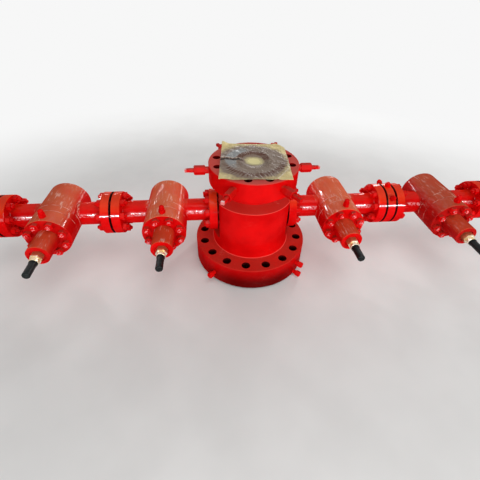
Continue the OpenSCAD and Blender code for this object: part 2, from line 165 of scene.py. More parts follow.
def closed_turning(radii: Array, heights: Array) -> Surface:
    """Round solid whose rings are given as in around, closed by a pole at each end.

    Args:
        radii: array of shape (rings, points in a ring), in metres.
        heights: array of the same shape.

    Returns:
        A closed surface about the Z axis, with its faces pointing out.
    """
    rings, count = radii.shape
    poles = np.array([[0.0, 0.0, heights[0].mean()], [0.0, 0.0, heights[-1].mean()]])
    ring = np.arange(count)
    beside = (ring + 1) % count
    pole = np.full(count, rings * count)
    last = (rings - 1) * count
    caps = [np.stack([pole, beside, ring], -1), np.stack([pole + 1, last + ring, last + beside], -1)]
    points = np.concatenate([around(radii, heights), poles])
    return Surface(points, grid_quads(rings, count, wrap_cols=True), np.concatenate(caps)).outward()


def places_on_circle(centre: Vector, axis: Vector, radius: float, spins: Array) -> Array:
    """Matrices that stand copies along an axis, on a circle that straddles its centre lines.

    Copy i of n sits at angle (i + 1/2) / n of a turn from the upright, its own +Z
    lies along the axis, and it is turned about that axis by its spin.

    Args:
        centre: centre of the circle.
        axis: direction in which each copy's +Z points.
        radius: radius of the circle.
        spins: one angle for each copy, in radians.

    Returns:
        Array of shape (copies, 4, 4).
    """
    count = len(spins)
    along = np.array(axis.normalized())
    up = np.array((0.0, 0.0, 1.0))
    side = np.cross(up, along)
    angle = (np.arange(count) + 0.5) * TAU / count
    out, first = (np.cos(turn)[:, None] * up + np.sin(turn)[:, None] * side for turn in (angle, spins))
    places = np.tile(np.eye(4), (count, 1, 1))
    places[:, :3, 0] = first
    places[:, :3, 1] = np.cross(along, first)
    places[:, :3, 2] = along
    places[:, :3, 3] = np.array(centre) + radius * out
    return places


def in_scene(name: str, data: bpy.types.ID) -> bpy.types.Object:
    """Makes an object and links it into the scene.

    Args:
        name: the object's name.
        data: its mesh, lamp or camera.

    Returns:
        The new object.
    """
    made = bpy.data.objects.new(name, data)
    bpy.context.scene.collection.objects.link(made)
    return made


def make_piece(name: str, surface: Surface, material: Material, sharp_deg: float = 30.0) -> bpy.types.Object:
    """Makes an object from a surface and lets it ride on the part.

    Args:
        name: the object's name.
        surface: its points and faces, in place.
        material: its finish.
        sharp_deg: edges that turn by more than this stay sharp.

    Returns:
        The new object, at the origin.
    """
    mesh = bpy.data.meshes.new(name)
    mesh.vertices.add(len(surface.points))
    mesh.vertices.foreach_set("co", surface.points.astype(np.float32).ravel())
    corners = np.concatenate([surface.quads.ravel(), surface.tris.ravel()])
    sizes = np.concatenate([np.full(len(surface.quads), 4), np.full(len(surface.tris), 3)])
    mesh.loops.add(len(corners))
    mesh.loops.foreach_set("vertex_index", corners.astype(np.int32))
    mesh.polygons.add(len(sizes))
    mesh.polygons.foreach_set("loop_start", (np.cumsum(sizes) - sizes).astype(np.int32))
    mesh.update(calc_edges=True)
    mesh.shade_smooth()
    mesh.set_sharp_from_angle(angle=math.radians(sharp_deg))
    mesh.materials.append(material)
    piece = in_scene(name, mesh)
    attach(piece, "root")
    LOG.info("%s: %d points, %d faces", name, len(surface.points), len(sizes))
    return piece


# Shader trees


class Wire:
    """An output of a node. Arithmetic on it adds Math nodes to its tree."""

    def __init__(self, tree: "Tree", socket: bpy.types.NodeSocket) -> None:
        """Keeps the tree and the output."""
        self.tree, self.socket = tree, socket

    def maths(self, operation: str, *others: "Value") -> "Wire":
        """A Math node with this as its first value."""
        return self.tree.maths(operation, self, *others)

    def __mul__(self, other: "Value") -> "Wire":
        """This times another."""
        return self.maths("MULTIPLY", other)

    def __add__(self, other: "Value") -> "Wire":
        """This plus another."""
        return self.maths("ADD", other)

    def __sub__(self, other: "Value") -> "Wire":
        """This less another."""
        return self.maths("SUBTRACT", other)

    def __rsub__(self, number: float) -> "Wire":
        """A number less this."""
        return self.tree.maths("SUBTRACT", number, self)

    def __abs__(self) -> "Wire":
        """This without its sign."""
        return self.maths("ABSOLUTE")

    def scaled(self, times: "Value", plus: "Value") -> "Wire":
        """This times one value, plus another."""
        return self.maths("MULTIPLY_ADD", times, plus)

    def hypot(self, other: "Wire") -> "Wire":
        """The root of the sum of both squares."""
        return (self * self + other * other).maths("SQRT")

    def ramp(self, low: "Value", high: "Value") -> "Wire":
        """Maps low..high smoothly to 0..1, held at both ends. High may be the smaller."""
        smoothly = {"interpolation_type": "SMOOTHSTEP"}
        return self.tree.out("MapRange", 0, smoothly, Value=self, From_Min=low, From_Max=high)


Value = float | Wire


class Tree:
    """A thin hand on a node tree: adds nodes, sets their values and links them."""

    def __init__(self, tree: bpy.types.NodeTree) -> None:
        """Keeps the node tree that this hand works on."""
        self.tree = tree

    def set(self, socket: bpy.types.NodeSocket, value: object) -> None:
        """Links a wire into a socket, or sets the socket's own value.

        Args:
            socket: an input of a node.
            value: a wire, a number or a colour.
        """
        if isinstance(value, Wire):
            self.tree.links.new(value.socket, socket)
        else:
            socket.default_value = value

    def put(self, node: bpy.types.Node, **values: object) -> bpy.types.Node:
        """Sets sockets of a node.

        Args:
            node: the node.
            values: sockets by name with spaces as underscores, each a number, a
                colour or a wire.

        Returns:
            The node.
        """
        for name, value in values.items():
            self.set(node.inputs[name.replace("_", " ")], value)
        return node

    def node(self, kind: str, settings: dict[str, str] | None = None, **values: object) -> bpy.types.Node:
        """Adds a node.

        Args:
            kind: Blender's name of the node type, without ShaderNode.
            settings: properties of the node, by name.
            values: sockets, as in put.

        Returns:
            The new node.
        """
        made = self.tree.nodes.new("ShaderNode" + kind)
        for name, value in (settings or {}).items():
            setattr(made, name, value)
        return self.put(made, **values)

    def out(self, kind: str, output: str | int, settings: dict[str, str] | None = None, **values: object) -> Wire:
        """Adds a node, as node does, and gives one of its outputs."""
        return Wire(self, self.node(kind, settings, **values).outputs[output])

    def maths(self, operation: str, *values: Value) -> Wire:
        """Adds a Math node.

        Args:
            operation: Blender's word for what it does.
            values: its values in order.

        Returns:
            Its output.
        """
        made = self.node("Math", {"operation": operation})
        for socket, value in zip(made.inputs, values):
            self.set(socket, value)
        return Wire(self, made.outputs[0])

    def mix(self, share: Value, first: "Colour | Wire", second: "Colour | Wire") -> Wire:
        """Adds a colour Mix node.

        Args:
            share: share of the second colour.
            first: the colour where the share is 0.
            second: the colour where it is 1.

        Returns:
            The mixed colour.
        """
        made = self.node("Mix", {"data_type": "RGBA"})
        for i, value in ((0, share), (6, first), (7, second)):
            self.set(made.inputs[i], value)
        return Wire(self, made.outputs[2])

    def noise(self, scale: float, detail: float = 3.0, rough: float = 0.5, vector: Wire | None = None) -> Wire:
        """Adds a Noise texture, on the point unless a vector is given, and gives its value."""
        vector = vector or self.place
        return self.out("TexNoise", 0, Vector=vector, Scale=scale, Detail=detail, Roughness=rough)

    def bump(self, height: Wire, strength: float, distance: float) -> Wire:
        """The normal bent by a height."""
        return self.out("Bump", 0, Height=height, Strength=strength, Distance=distance)

    def axes(self, vector: Wire) -> tuple[Wire, ...]:
        """X, Y and Z of a vector."""
        return tuple(Wire(self, socket) for socket in self.node("SeparateXYZ", Vector=vector).outputs)

    @cached_property
    def place(self) -> Wire:
        """The point on the surface, in Object coordinates."""
        return self.out("TexCoord", "Object")

    @cached_property
    def at(self) -> tuple[Wire, ...]:
        """X, Y and Z of the point on the surface."""
        return self.axes(self.place)

    @cached_property
    def normal(self) -> tuple[Wire, ...]:
        """X, Y and Z of the surface's normal."""
        return self.axes(self.out("NewGeometry", "Normal"))

    def effect(self, effect: "Effect", **values: float) -> dict[str, Wire]:
        """Places a shared effect.

        Args:
            effect: which effect.
            values: all the group's inputs, by name.

        Returns:
            Its outputs by name.
        """
        made = self.tree.nodes.new("ShaderNodeGroup")
        made.node_tree = bpy.data.node_groups[effect.value]
        self.put(made, **values)
        return {socket.name: Wire(self, socket) for socket in made.outputs}


class Effect(Enum):
    """Shared effects, each a node group that is built once."""

    DUST = "dust_on_top"
    PEEL = "paint_skin"
    SCUFF = "scuffs_and_flecks"
    BORES = "bores_on_a_circle"
    EDGE = "painted_edge_highlight"


def new_group(effect: Effect, inputs: str, outputs: str) -> tuple[Tree, dict[str, Wire], bpy.types.Node]:
    """Starts a shader node group whose inputs and outputs are all numbers.

    Args:
        effect: the effect that it makes.
        inputs: names of its inputs, with spaces between.
        outputs: names of its outputs, with spaces between.

    Returns:
        The tree, its inputs by name and its output node.
    """
    group = bpy.data.node_groups.new(effect.value, "ShaderNodeTree")
    for labels, way in ((inputs, "INPUT"), (outputs, "OUTPUT")):
        for label in labels.split():
            group.interface.new_socket(name=label, in_out=way, socket_type="NodeSocketFloat")
    tree = Tree(group)
    source = group.nodes.new("NodeGroupInput")
    return tree, {name: Wire(tree, source.outputs[name]) for name in inputs.split()}, group.nodes.new("NodeGroupOutput")


def dust_group() -> None:
    """Builds the mask of the dust that settles on faces that look up, which also carries painted shade and painted
    reflection.

    The second output is smoothstep of the normal's upward part, broken by coarse
    and fine noise, so flat tops are covered most and undersides not at all. The
    mask is that times a smoothstep of the height above the floor.
    """
    tree, source, sink = new_group(Effect.DUST, "Start Full Low High", "Mask Upward")
    facing = tree.normal[2].ramp(source["Start"], source["Full"])
    worn = tree.noise(9.0, 4.0).ramp(0.15, 0.75).scaled(0.4, 0.6)
    settled = facing * worn * tree.noise(140.0, 2.0).scaled(0.4, 0.75)
    lifted = tree.at[2].ramp(source["Low"], source["High"])
    tree.put(sink, Mask=settled * lifted, Upward=settled)


def peel_group() -> None:
    """Builds the skin of sprayed enamel: fine orange peel over soft dents, and a slow change of tone."""
    tree, source, sink = new_group(Effect.PEEL, "Peel", "Height Tone")
    peel = tree.noise(420.0, 1.0) * source["Peel"]
    tree.put(sink, Height=peel + tree.noise(62.0, 1.5), Tone=tree.noise(6.0, 3.0, 0.6))


def scuff_group() -> None:
    """Builds handling marks: thin scratches where a stretched noise crosses its middle, and small flecks."""
    tree, source, sink = new_group(Effect.SCUFF, "Scratches", "Mask")
    bent = tree.out("Mapping", 0, Vector=tree.place, Rotation=(0.3, 0.5, 0.9), Scale=(9.0, 90.0, 40.0))
    line = abs(tree.noise(1.0, 4.0, 0.5, bent) - 0.5)
    scratch = (1.0 - line.ramp(0.0, 0.012)) * tree.noise(11.0, 2.0).ramp(0.55, 0.7) * source["Scratches"]
    spots = tree.out("TexVoronoi", "Distance", Vector=tree.place, Scale=190.0, Randomness=1.0)
    fleck = (1.0 - spots.ramp(0.08, 0.2)) * tree.noise(60.0, 1.0).ramp(0.6, 0.72) * 0.5
    tree.put(sink, Mask=scratch.maths("MAXIMUM", fleck))


def bores_group() -> None:
    """Builds the mask of the bores of a ring of holes about the Z axis, which are greasy and painted dark as shade.

    The angle is folded into one hole's share of the turn, and the mask is 1 where
    the distance from that hole's axis is under the hole's radius.
    """
    tree, source, sink = new_group(Effect.BORES, "Holes Circle Radius Low High", "Mask")
    x, y, z = tree.at
    turn = y.maths("ARCTAN2", x).maths("DIVIDE", TAU)
    share = (turn * source["Holes"]).maths("FRACT") - 0.5
    angle = (share * TAU).maths("DIVIDE", source["Holes"])
    reach = x.hypot(y)
    away = (reach * angle.maths("COSINE") - source["Circle"]).hypot(reach * angle.maths("SINE"))
    within = z.maths("GREATER_THAN", source["Low"]) * z.maths("LESS_THAN", source["High"])
    tree.put(sink, Mask=away.maths("LESS_THAN", source["Radius"]) * within)


def edge_highlight_group() -> None:
    """Builds the mask of a round edge about the Z axis, where a highlight is painted.

    The distance is taken in the plane of radius and height, from the edge's own
    radius and height, and the mask falls from 1 to 0 over the line's width.
    """
    tree, source, sink = new_group(Effect.EDGE, "Reach Height Width", "Mask")
    x, y, z = tree.at
    away = (x.hypot(y) - source["Reach"]).hypot(z - source["Height"])
    tree.put(sink, Mask=1.0 - away.ramp(0.0, source["Width"]))


def nearest(value: Wire, places: tuple[float, ...]) -> Wire:
    """Distance of a value from the nearest of some places."""
    away = [abs(value - place) for place in places]
    return reduce(lambda first, second: first.maths("MINIMUM", second), away)


def blank_material(name: str) -> tuple[Material, Tree, bpy.types.Node]:
    """Makes a material.

    Args:
        name: the material's name.

    Returns:
        The material, its tree and its Principled shader.
    """
    material = bpy.data.materials.new(name)
    material.use_nodes = True
    return material, Tree(material.node_tree), material.node_tree.nodes["Principled BSDF"]


# Finishes


@dataclass(frozen=True)
class BoltRing:
    """A ring of bolt holes whose bores are bare, greasy and painted dark as shade.

    Args:
        holes: number of holes, which straddle the X axis.
        circle: radius of the bolt circle.
        radius: radius of a hole, with the width of its edge.
        low: height below which the mask stops.
        high: height above which it stops.
        dark: how dark the bores are.
    """

    holes: float
    circle: float
    radius: float
    low: float
    high: float
    dark: float = 0.92

    def mask(self, tree: Tree) -> Wire:
        """Where the bores are, as strong as they are dark."""
        sizes = {"Holes": self.holes, "Circle": self.circle, "Radius": self.radius, "Low": self.low, "High": self.high}
        return tree.effect(Effect.BORES, **sizes)["Mask"] * self.dark


@dataclass(frozen=True)
class ValveMarks:
    """What lies on the valves' paint alone.

    Args:
        centres: x of the middle of each round body.
        half: half a body's width.
        axis_z: height of the arms' axis.
        neck_r: radius of the necks between body and flanges, whose cast skin is rough.
        front: y of the bonnets' bolted faces. The tubes in front of them have the film.
        lines: y of the painted highlight lines round each body.
        seams: x of the flange joints, beside which dirty grease and painted shade darken the flanges.
        seam_half: half the width of a dark band at a joint.
        matt_within: distance from the Z axis within which the flanges aren't wiped.
        outer_shade_right: x over which the right arm's bodies are darkened as painted shade.
        outer_shade_left: the same on the left arm, where it is fainter.
        film: linear colour of the oily film on the tubes.
        rubbed: linear colour of the pale streaks on the bodies' tops, which are rubbed paint and painted highlight, and
            of the painted highlight lines.
        neck_highlight: linear colour of the painted highlight patches on the necks.
        thin: linear colour of the thin dust on the necks and flanges.
        outer_shade: linear colour of the painted shade on the outer valves' bodies.
        joint_dirt_and_shade: linear colour of the dirty grease and painted shade beside the joints.
    """

    centres: tuple[float, ...]
    half: float = 112.5 * MM
    axis_z: float = 333.0 * MM
    neck_r: float = 63.0 * MM
    front: float = -206.0 * MM
    lines: Pair = (-120.5 * MM, -72.0 * MM)
    seams: tuple[float, ...] = tuple(x * MM for x in (-1343.0, -768.0, -193.0, 193.0, 768.0, 825.0, 1400.0))
    seam_half: float = 6.2 * MM
    matt_within: float = 243.0 * MM
    outer_shade_right: Pair = (0.92, 1.0)
    outer_shade_left: Pair = (-0.88, -0.96)
    film: Colour = (0.56, 0.068, 0.024, 1.0)
    rubbed: Colour = (0.78, 0.46, 0.38, 1.0)
    neck_highlight: Colour = (0.95, 0.45, 0.48, 1.0)
    thin: Colour = (0.95, 0.16, 0.035, 1.0)
    outer_shade: Colour = (0.24, 0.012, 0.010, 1.0)
    joint_dirt_and_shade: Colour = (0.022, 0.004, 0.004, 1.0)

    def body(self, tree: Tree) -> Wire:
        """The mask of the round bodies, which falls off over a few millimetres."""
        return 1.0 - nearest(tree.at[0], self.centres).ramp(self.half, self.half + 6.0 * MM)

    def seam(self, tree: Tree) -> Wire:
        """The mask of the dirty grease and painted shade beside the flange joints."""
        return nearest(tree.at[0], self.seams).ramp(self.seam_half + 0.6 * MM, self.seam_half - 0.6 * MM)

    def neck(self, tree: Tree) -> Wire:
        """The mask of the necks, by the distance from the arms' axis."""
        reach = tree.at[1].hypot(tree.at[2] - self.axis_z)
        return 1.0 - reach.ramp(self.neck_r + 3.0 * MM, self.neck_r + 9.0 * MM)

    def front_side(self, tree: Tree) -> Wire:
        """The mask of what faces the front."""
        return tree.normal[1].ramp(-0.3, -0.6)

    def over(self, tree: Tree, colour: Wire, body: Wire, neck: Wire, upward: Wire) -> Wire:
        """Lays painted shade on the outer bodies, film, pale streaks, and painted highlight lines and neck patches over
        the paint.

        A streak is a noise stretched along Y where it is high, and a line is where y
        is near the line's own y. The patches lie in a band at the front, where the
        normal's upward part is near 0.36. All are broken up by a noise.

        Args:
            tree: the paint's tree.
            colour: the colour so far.
            body: mask of the round bodies.
            neck: mask of the necks.
            upward: mask of what looks up.

        Returns:
            The colour with them.
        """
        x, y, _ = tree.at
        # Painted shade on the outer valves' bodies, stronger on the right.
        outer = x.ramp(*self.outer_shade_right) * 0.5 + x.ramp(*self.outer_shade_left) * 0.2
        colour = tree.mix(outer * body, colour, self.outer_shade)
        tube = y.ramp(self.front, self.front - 4.0 * MM) * upward
        colour = tree.mix(tube * 0.95, colour, self.film)
        # Pale streaks along Y on the bodies' tops: rubbed paint and painted highlight.
        drawn = tree.out("Mapping", 0, Vector=tree.place, Scale=(75.0, 11.0, 75.0))
        streak = tree.noise(1.0, 4.0, 0.7, drawn).ramp(0.53, 0.64) * tree.noise(9.0, 2.0).ramp(0.44, 0.58)
        colour = tree.mix(streak * (body * upward) * 0.7, colour, self.rubbed)
        # Painted highlight lines round each body, broken by a noise.
        broken = tree.noise(26.0, 2.0).ramp(0.42, 0.58) * body
        for line in self.lines:
            thin = 1.0 - abs(y - line).ramp(0.8 * MM, 2.6 * MM)
            colour = tree.mix(thin * broken * 0.75, colour, self.rubbed)
        # Painted highlight patches on the necks, in a band of normals at the front.
        band = abs(tree.normal[2] - 0.36).ramp(0.17, 0.11) * self.front_side(tree)
        patches = tree.noise(110.0, 3.0, 0.6).ramp(0.44, 0.54) * neck * tree.noise(9.0, 1.0).ramp(0.38, 0.5)
        return tree.mix(band * patches * 0.6, colour, self.neck_highlight)

    def gloss(self, tree: Tree, body: Wire, neck: Wire) -> Wire:
        """Where the coat is wiped clean and thick.

        On the flanges and necks that is a band at the front, where the normal's
        upward part is near 0.43, wider and mottled on the necks, and not on the two
        flanges at the head. On the bodies it is in streaks along Y on the flank that
        looks at the head. What looks up keeps a thin coat.

        Args:
            tree: the paint's tree.
            body: mask of the round bodies.
            neck: mask of the necks.

        Returns:
            The mask.
        """
        x = tree.at[0]
        across, _, upward = tree.normal
        away = abs(upward - neck.scaled(-0.07, 0.43)) - neck.scaled(0.13, 0.05)
        mottled = tree.noise(75.0, 3.0, 0.6).ramp(0.38, 0.5)
        band = (1.0 - away.ramp(-0.02, 0.03)) * self.front_side(tree) * mottled.maths("MAXIMUM", 1.0 - neck)
        band = band * abs(x).ramp(self.matt_within, self.matt_within + 4.0 * MM)
        inward = across * x.maths("SIGN") * -1.0
        drawn = tree.out("Mapping", 0, Vector=tree.place, Location=(0.4, 0.2, 0.1), Scale=(95.0, 30.0, 95.0))
        streak = tree.noise(1.0, 4.0, 0.75, drawn).ramp(0.49, 0.6)
        flank = inward.ramp(0.10, 0.3) * inward.ramp(0.97, 0.85) * streak * 0.3
        top = upward.ramp(0.7, 0.8) * body.scaled(-0.06, 0.07)
        return top.maths("MAXIMUM", band * (1.0 - body) + flank * body)


@dataclass(frozen=True)
class RedEnamel:
    """Glossy red enamel over a machined forging, dusty where it looks up, with painted light in the dust.

    Args:
        name: the material's name.
        bright: linear colour of the clean paint.
        deep: linear colour of a darker tone, which a slow noise mixes in.
        dust: linear colour of the film of dust over the paint; on the head it is also painted
            shade of the faces that look up, and on the valves also painted sky reflection.
        pale: linear colour of the painted skylight on the top faces, laid over the dust.
        foot_shade: linear colour of the painted shade near the ground.
        scuffed: linear colour of scratches and flecks.
        edge_highlight: linear colour of the painted highlights on round edges.
        bore_shade: linear colour of the bores, greasy and painted dark as shade.
        worn: linear colour of the lock screws' tips, bare metal with a painted highlight.
        stud_glint: linear colour of the painted glints on the studs' ends.
        dust_share: how much of the paint the dust hides on a level face.
        dust_facing: upward part of the normal at which the dust starts, and is full.
        dust_above: heights between which the dust comes in.
        foot_shade_below: height below which the paint is darkened as painted shade.
        skylit_above: height above which the dust is paled as painted skylight.
        peel: height of the orange peel, as a share of the bump distance.
        scratches: how strongly scratches show.
        rings: bolt rings whose bores are dark.
        edges: radius and height of round edges and fillets that carry a painted highlight.
        highlight_width: width of a painted edge highlight.
        marks: what lies on the valves' paint alone.
        tip_glint_beyond: radius from the Z axis beyond which the paint is paled as bare metal with a painted highlight,
            if any.
        tips_before: y in front of which studs' ends are clean and carry painted glints, if any.
            Far behind it the bolts are cleaner than at the bonnets.
        coat: weight of the clear coat, where it is thin and what is added where it is thick.
    """

    name: str
    bright: Colour = (0.72, 0.0028, 0.0032, 1.0)
    deep: Colour = (0.55, 0.0018, 0.0022, 1.0)
    dust: Colour = (0.44, 0.030, 0.020, 1.0)
    pale: Colour = (0.64, 0.19, 0.16, 1.0)
    foot_shade: Colour = (0.09, 0.001, 0.001, 1.0)
    scuffed: Colour = (0.75, 0.42, 0.33, 1.0)
    edge_highlight: Colour = (0.95, 0.10, 0.08, 1.0)
    bore_shade: Colour = (0.02, 0.003, 0.003, 1.0)
    worn: Colour = (0.93, 0.72, 0.70, 1.0)
    stud_glint: Colour = (0.95, 0.36, 0.38, 1.0)
    dust_share: float = 0.85
    dust_facing: Pair = (0.35, 0.95)
    dust_above: Pair = (-1.0, -0.9)
    foot_shade_below: float = 0.0
    skylit_above: float = 10.0
    peel: float = 0.25
    scratches: float = 0.35
    rings: tuple[BoltRing, ...] = ()
    edges: tuple[Pair, ...] = ()
    highlight_width: float = 3.4 * MM
    marks: ValveMarks | None = None
    tip_glint_beyond: float | None = None
    tips_before: float | None = None
    coat: Pair = (0.012, 0.03)

    def shaded_at_foot(self, tree: Tree, colour: Wire) -> Wire:
        """Darkens the paint towards the ground as painted shade, and less on the two sides.

        Args:
            tree: the paint's tree.
            colour: the colour so far.

        Returns:
            The colour with the painted shade.
        """
        height = tree.at[2]
        deep = height.ramp(self.foot_shade_below, 0.3 * self.foot_shade_below).scaled(0.63, 0.34)
        sides = abs(tree.normal[0]).ramp(0.95, 0.35).scaled(0.5, 0.5)
        low = height.ramp(self.foot_shade_below + 3.0 * MM, self.foot_shade_below)
        return tree.mix(deep * sides * low, colour, self.foot_shade)

    def lit_edges_and_shaded_bores(self, tree: Tree, colour: Wire) -> Wire:
        """Paints highlights on the round edges and darkens the bores.

        Args:
            tree: the paint's tree.
            colour: the colour so far.

        Returns:
            The colour with the edge highlights and the bores.
        """
        # Painted highlights on round edges and fillets.
        for reach, level in self.edges:
            edge = tree.effect(Effect.EDGE, Reach=reach, Height=level, Width=self.highlight_width)["Mask"]
            colour = tree.mix(edge * 0.8, colour, self.edge_highlight)
        # Bores painted dark: grease and painted shade of the deep holes.
        for ring in self.rings:
            colour = tree.mix(ring.mask(tree), colour, self.bore_shade)
        return colour

    def bare_and_glinting_tips(self, tree: Tree, colour: Wire) -> Wire:
        """Pales the lock screws' tips as bare metal with a painted highlight, most on the left and right ones and on
        what looks up.

        Args:
            tree: the paint's tree.
            colour: the colour so far.

        Returns:
            The colour with the pale tips.
        """
        # Painted highlight and bare metal on the lock screws' tips.
        x, y, _ = tree.at
        worn = x.hypot(y).ramp(self.tip_glint_beyond, self.tip_glint_beyond + 8.0 * MM)
        which = ((x + y) * -1.0).maths("MAXIMUM", abs(x)).ramp(0.2, 0.5)
        return tree.mix(worn * (which * tree.normal[2].ramp(-0.4, 0.7)), colour, self.worn)

    def clean_and_glinting_ends(self, tree: Tree, colour: Wire) -> Wire:
        """Cleans the studs' front ends and paints glints on them in spots.

        Args:
            tree: the paint's tree.
            colour: the colour so far.

        Returns:
            The colour with the clean ends and their painted glints.
        """
        tips = tree.at[1].ramp(self.tips_before, self.tips_before - 2.0 * MM)
        colour = tree.mix(tips * 0.8, colour, self.bright)
        # Painted glints on the studs' ends, in spots.
        return tree.mix(tips * tree.noise(150.0, 2.0).ramp(0.48, 0.62) * 0.7, colour, self.stud_glint)

    def build(self) -> Material:
        """Builds the paint.

        Returns:
            The material. Colour is bright and deep mixed by a slow noise, then painted shade near
            the floor, dust by the upward mask with painted light laid in it, painted skylight on the
            highest tops, pale scuffs, painted edge highlights, dark bores with painted shade, pale
            tips with a painted highlight and the studs' painted glints; roughness rises with the dust,
            and a thin clear coat comes and goes in patches and is dulled by the dust.
        """
        material, tree, paint = blank_material(self.name)
        (start, full), (low, high) = self.dust_facing, self.dust_above
        skin = tree.effect(Effect.PEEL, Peel=self.peel)
        dust = tree.effect(Effect.DUST, Start=start, Full=full, Low=low, High=high)
        scuff = tree.effect(Effect.SCUFF, Scratches=self.scratches)
        colour = tree.mix(skin["Tone"].ramp(0.3, 0.7), self.deep, self.bright)
        # Painted shade on the faces near the floor.
        if self.foot_shade_below > 0.0:
            colour = self.shaded_at_foot(tree, colour)
        cover, height, settled = dust["Mask"] * self.dust_share, skin["Height"], self.dust
        if self.tips_before is not None:
            ahead = tree.at[1].ramp(0.6 * self.tips_before, 0.8 * self.tips_before)
            cover = cover * ahead.scaled(0.75, 0.25)
        if self.marks is not None:
            body, neck = self.marks.body(tree), self.marks.neck(tree)
            cover = cover * body.scaled(0.72, 0.28)
            height = (tree.noise(95.0, 2.0) * 2.0).scaled(neck, height)
            settled = tree.mix(body, self.marks.thin, self.dust)
        # Dust on what looks up: on the head it is also painted shade, on the valves' bodies also painted sky
        # reflection.
        colour = tree.mix(cover, colour, settled)
        # Painted skylight: the dust on the highest faces is paled.
        top = tree.at[2].ramp(self.skylit_above, self.skylit_above + 3.0 * MM)
        colour = tree.mix(top * cover * 0.5, colour, self.pale)
        if self.marks is not None:
            colour = self.marks.over(tree, colour, body, neck, dust["Upward"])
        scuffs = scuff["Mask"] * dust["Mask"].scaled(0.8, 0.1)
        colour = self.lit_edges_and_shaded_bores(tree, tree.mix(scuffs, colour, self.scuffed))
        if self.tip_glint_beyond is not None:
            colour = self.bare_and_glinting_tips(tree, colour)
        if self.tips_before is not None:
            colour = self.clean_and_glinting_ends(tree, colour)
        wet = skin["Tone"].ramp(0.3, 0.6).scaled(self.coat[1], self.coat[0])
        coat = wet * (1.0 - cover * 0.7)
        if self.marks is not None:
            # Dark bands beside the flange joints: dirty grease and painted shade.
            colour = tree.mix(self.marks.seam(tree), colour, self.marks.joint_dirt_and_shade)
            coat = coat.maths("MAXIMUM", self.marks.gloss(tree, body, neck))
        tree.put(
            paint, Base_Color=colour, Roughness=cover.scaled(0.34, 0.16) + scuffs * 0.3,
            Specular_IOR_Level=0.0, Coat_Weight=coat, Coat_IOR=2.0, Coat_Roughness=0.05,
            Normal=tree.bump(height, 0.3, 0.5 * MM),
        )
        return material


@dataclass(frozen=True)
class TurnedBrass:
    """Brass packing nut, turned, with a pale worn collar.

    Args:
        name: the material's name.
        yellow: linear colour of plain brass.
        pale: linear colour of worn brass.
        tanned: linear colour behind the worn collar.
        worn_from: y of the collar's back edge.
    """

    name: str = "turned_brass"
    yellow: Colour = (0.78, 0.60, 0.32, 1.0)
    pale: Colour = (0.90, 0.85, 0.72, 1.0)
    tanned: Colour = (0.50, 0.25, 0.11, 1.0)
    worn_from: float = -353.0 * MM

    def build(self) -> Material:
        """Builds the brass.

        Returns:
            The material: two tones by a noise, tanned behind the worn collar, and turning
            lines as bands along Y.
        """
        material, tree, metal = blank_material(self.name)
        tone = tree.mix(tree.noise(55.0, 3.0).ramp(0.35, 0.65), self.yellow, self.pale)
        behind = tree.at[1].ramp(self.worn_from - 2.0 * MM, self.worn_from + 2.0 * MM)
        bands = {"bands_direction": "Y"}
        lines = tree.out("TexWave", "Fac", bands, Vector=tree.place, Scale=900.0, Distortion=1.5)
        tree.put(
            metal, Base_Color=tree.mix(behind, tone, self.tanned), Metallic=0.75,
            Roughness=tree.noise(120.0).scaled(0.2, 0.24), Normal=tree.bump(lines, 0.15, 0.1 * MM),
        )
        return material


@dataclass(frozen=True)
class CapRubber:
    """Black rubber of the stem caps, smooth and slightly greasy.

    Args:
        name: the material's name.
        black: linear colour of the rubber.
        worn: linear colour of rubbed patches.
    """

    name: str = "cap_rubber"
    black: Colour = (0.007, 0.0085, 0.009, 1.0)
    worn: Colour = (0.018, 0.020, 0.020, 1.0)

    def build(self) -> Material:
        """Builds the rubber.

        Returns:
            The material: black, greyer in rubbed patches, with a soft gloss.
        """
        material, tree, rubber = blank_material(self.name)
        rubbed = tree.noise(48.0, 3.0).ramp(0.45, 0.7)
        tree.put(
            rubber, Base_Color=tree.mix(rubbed, self.black, self.worn), Roughness=rubbed.scaled(0.18, 0.3),
            Specular_IOR_Level=0.15, Normal=tree.bump(tree.noise(600.0, 2.0), 0.2, 0.2 * MM),
        )
        return material


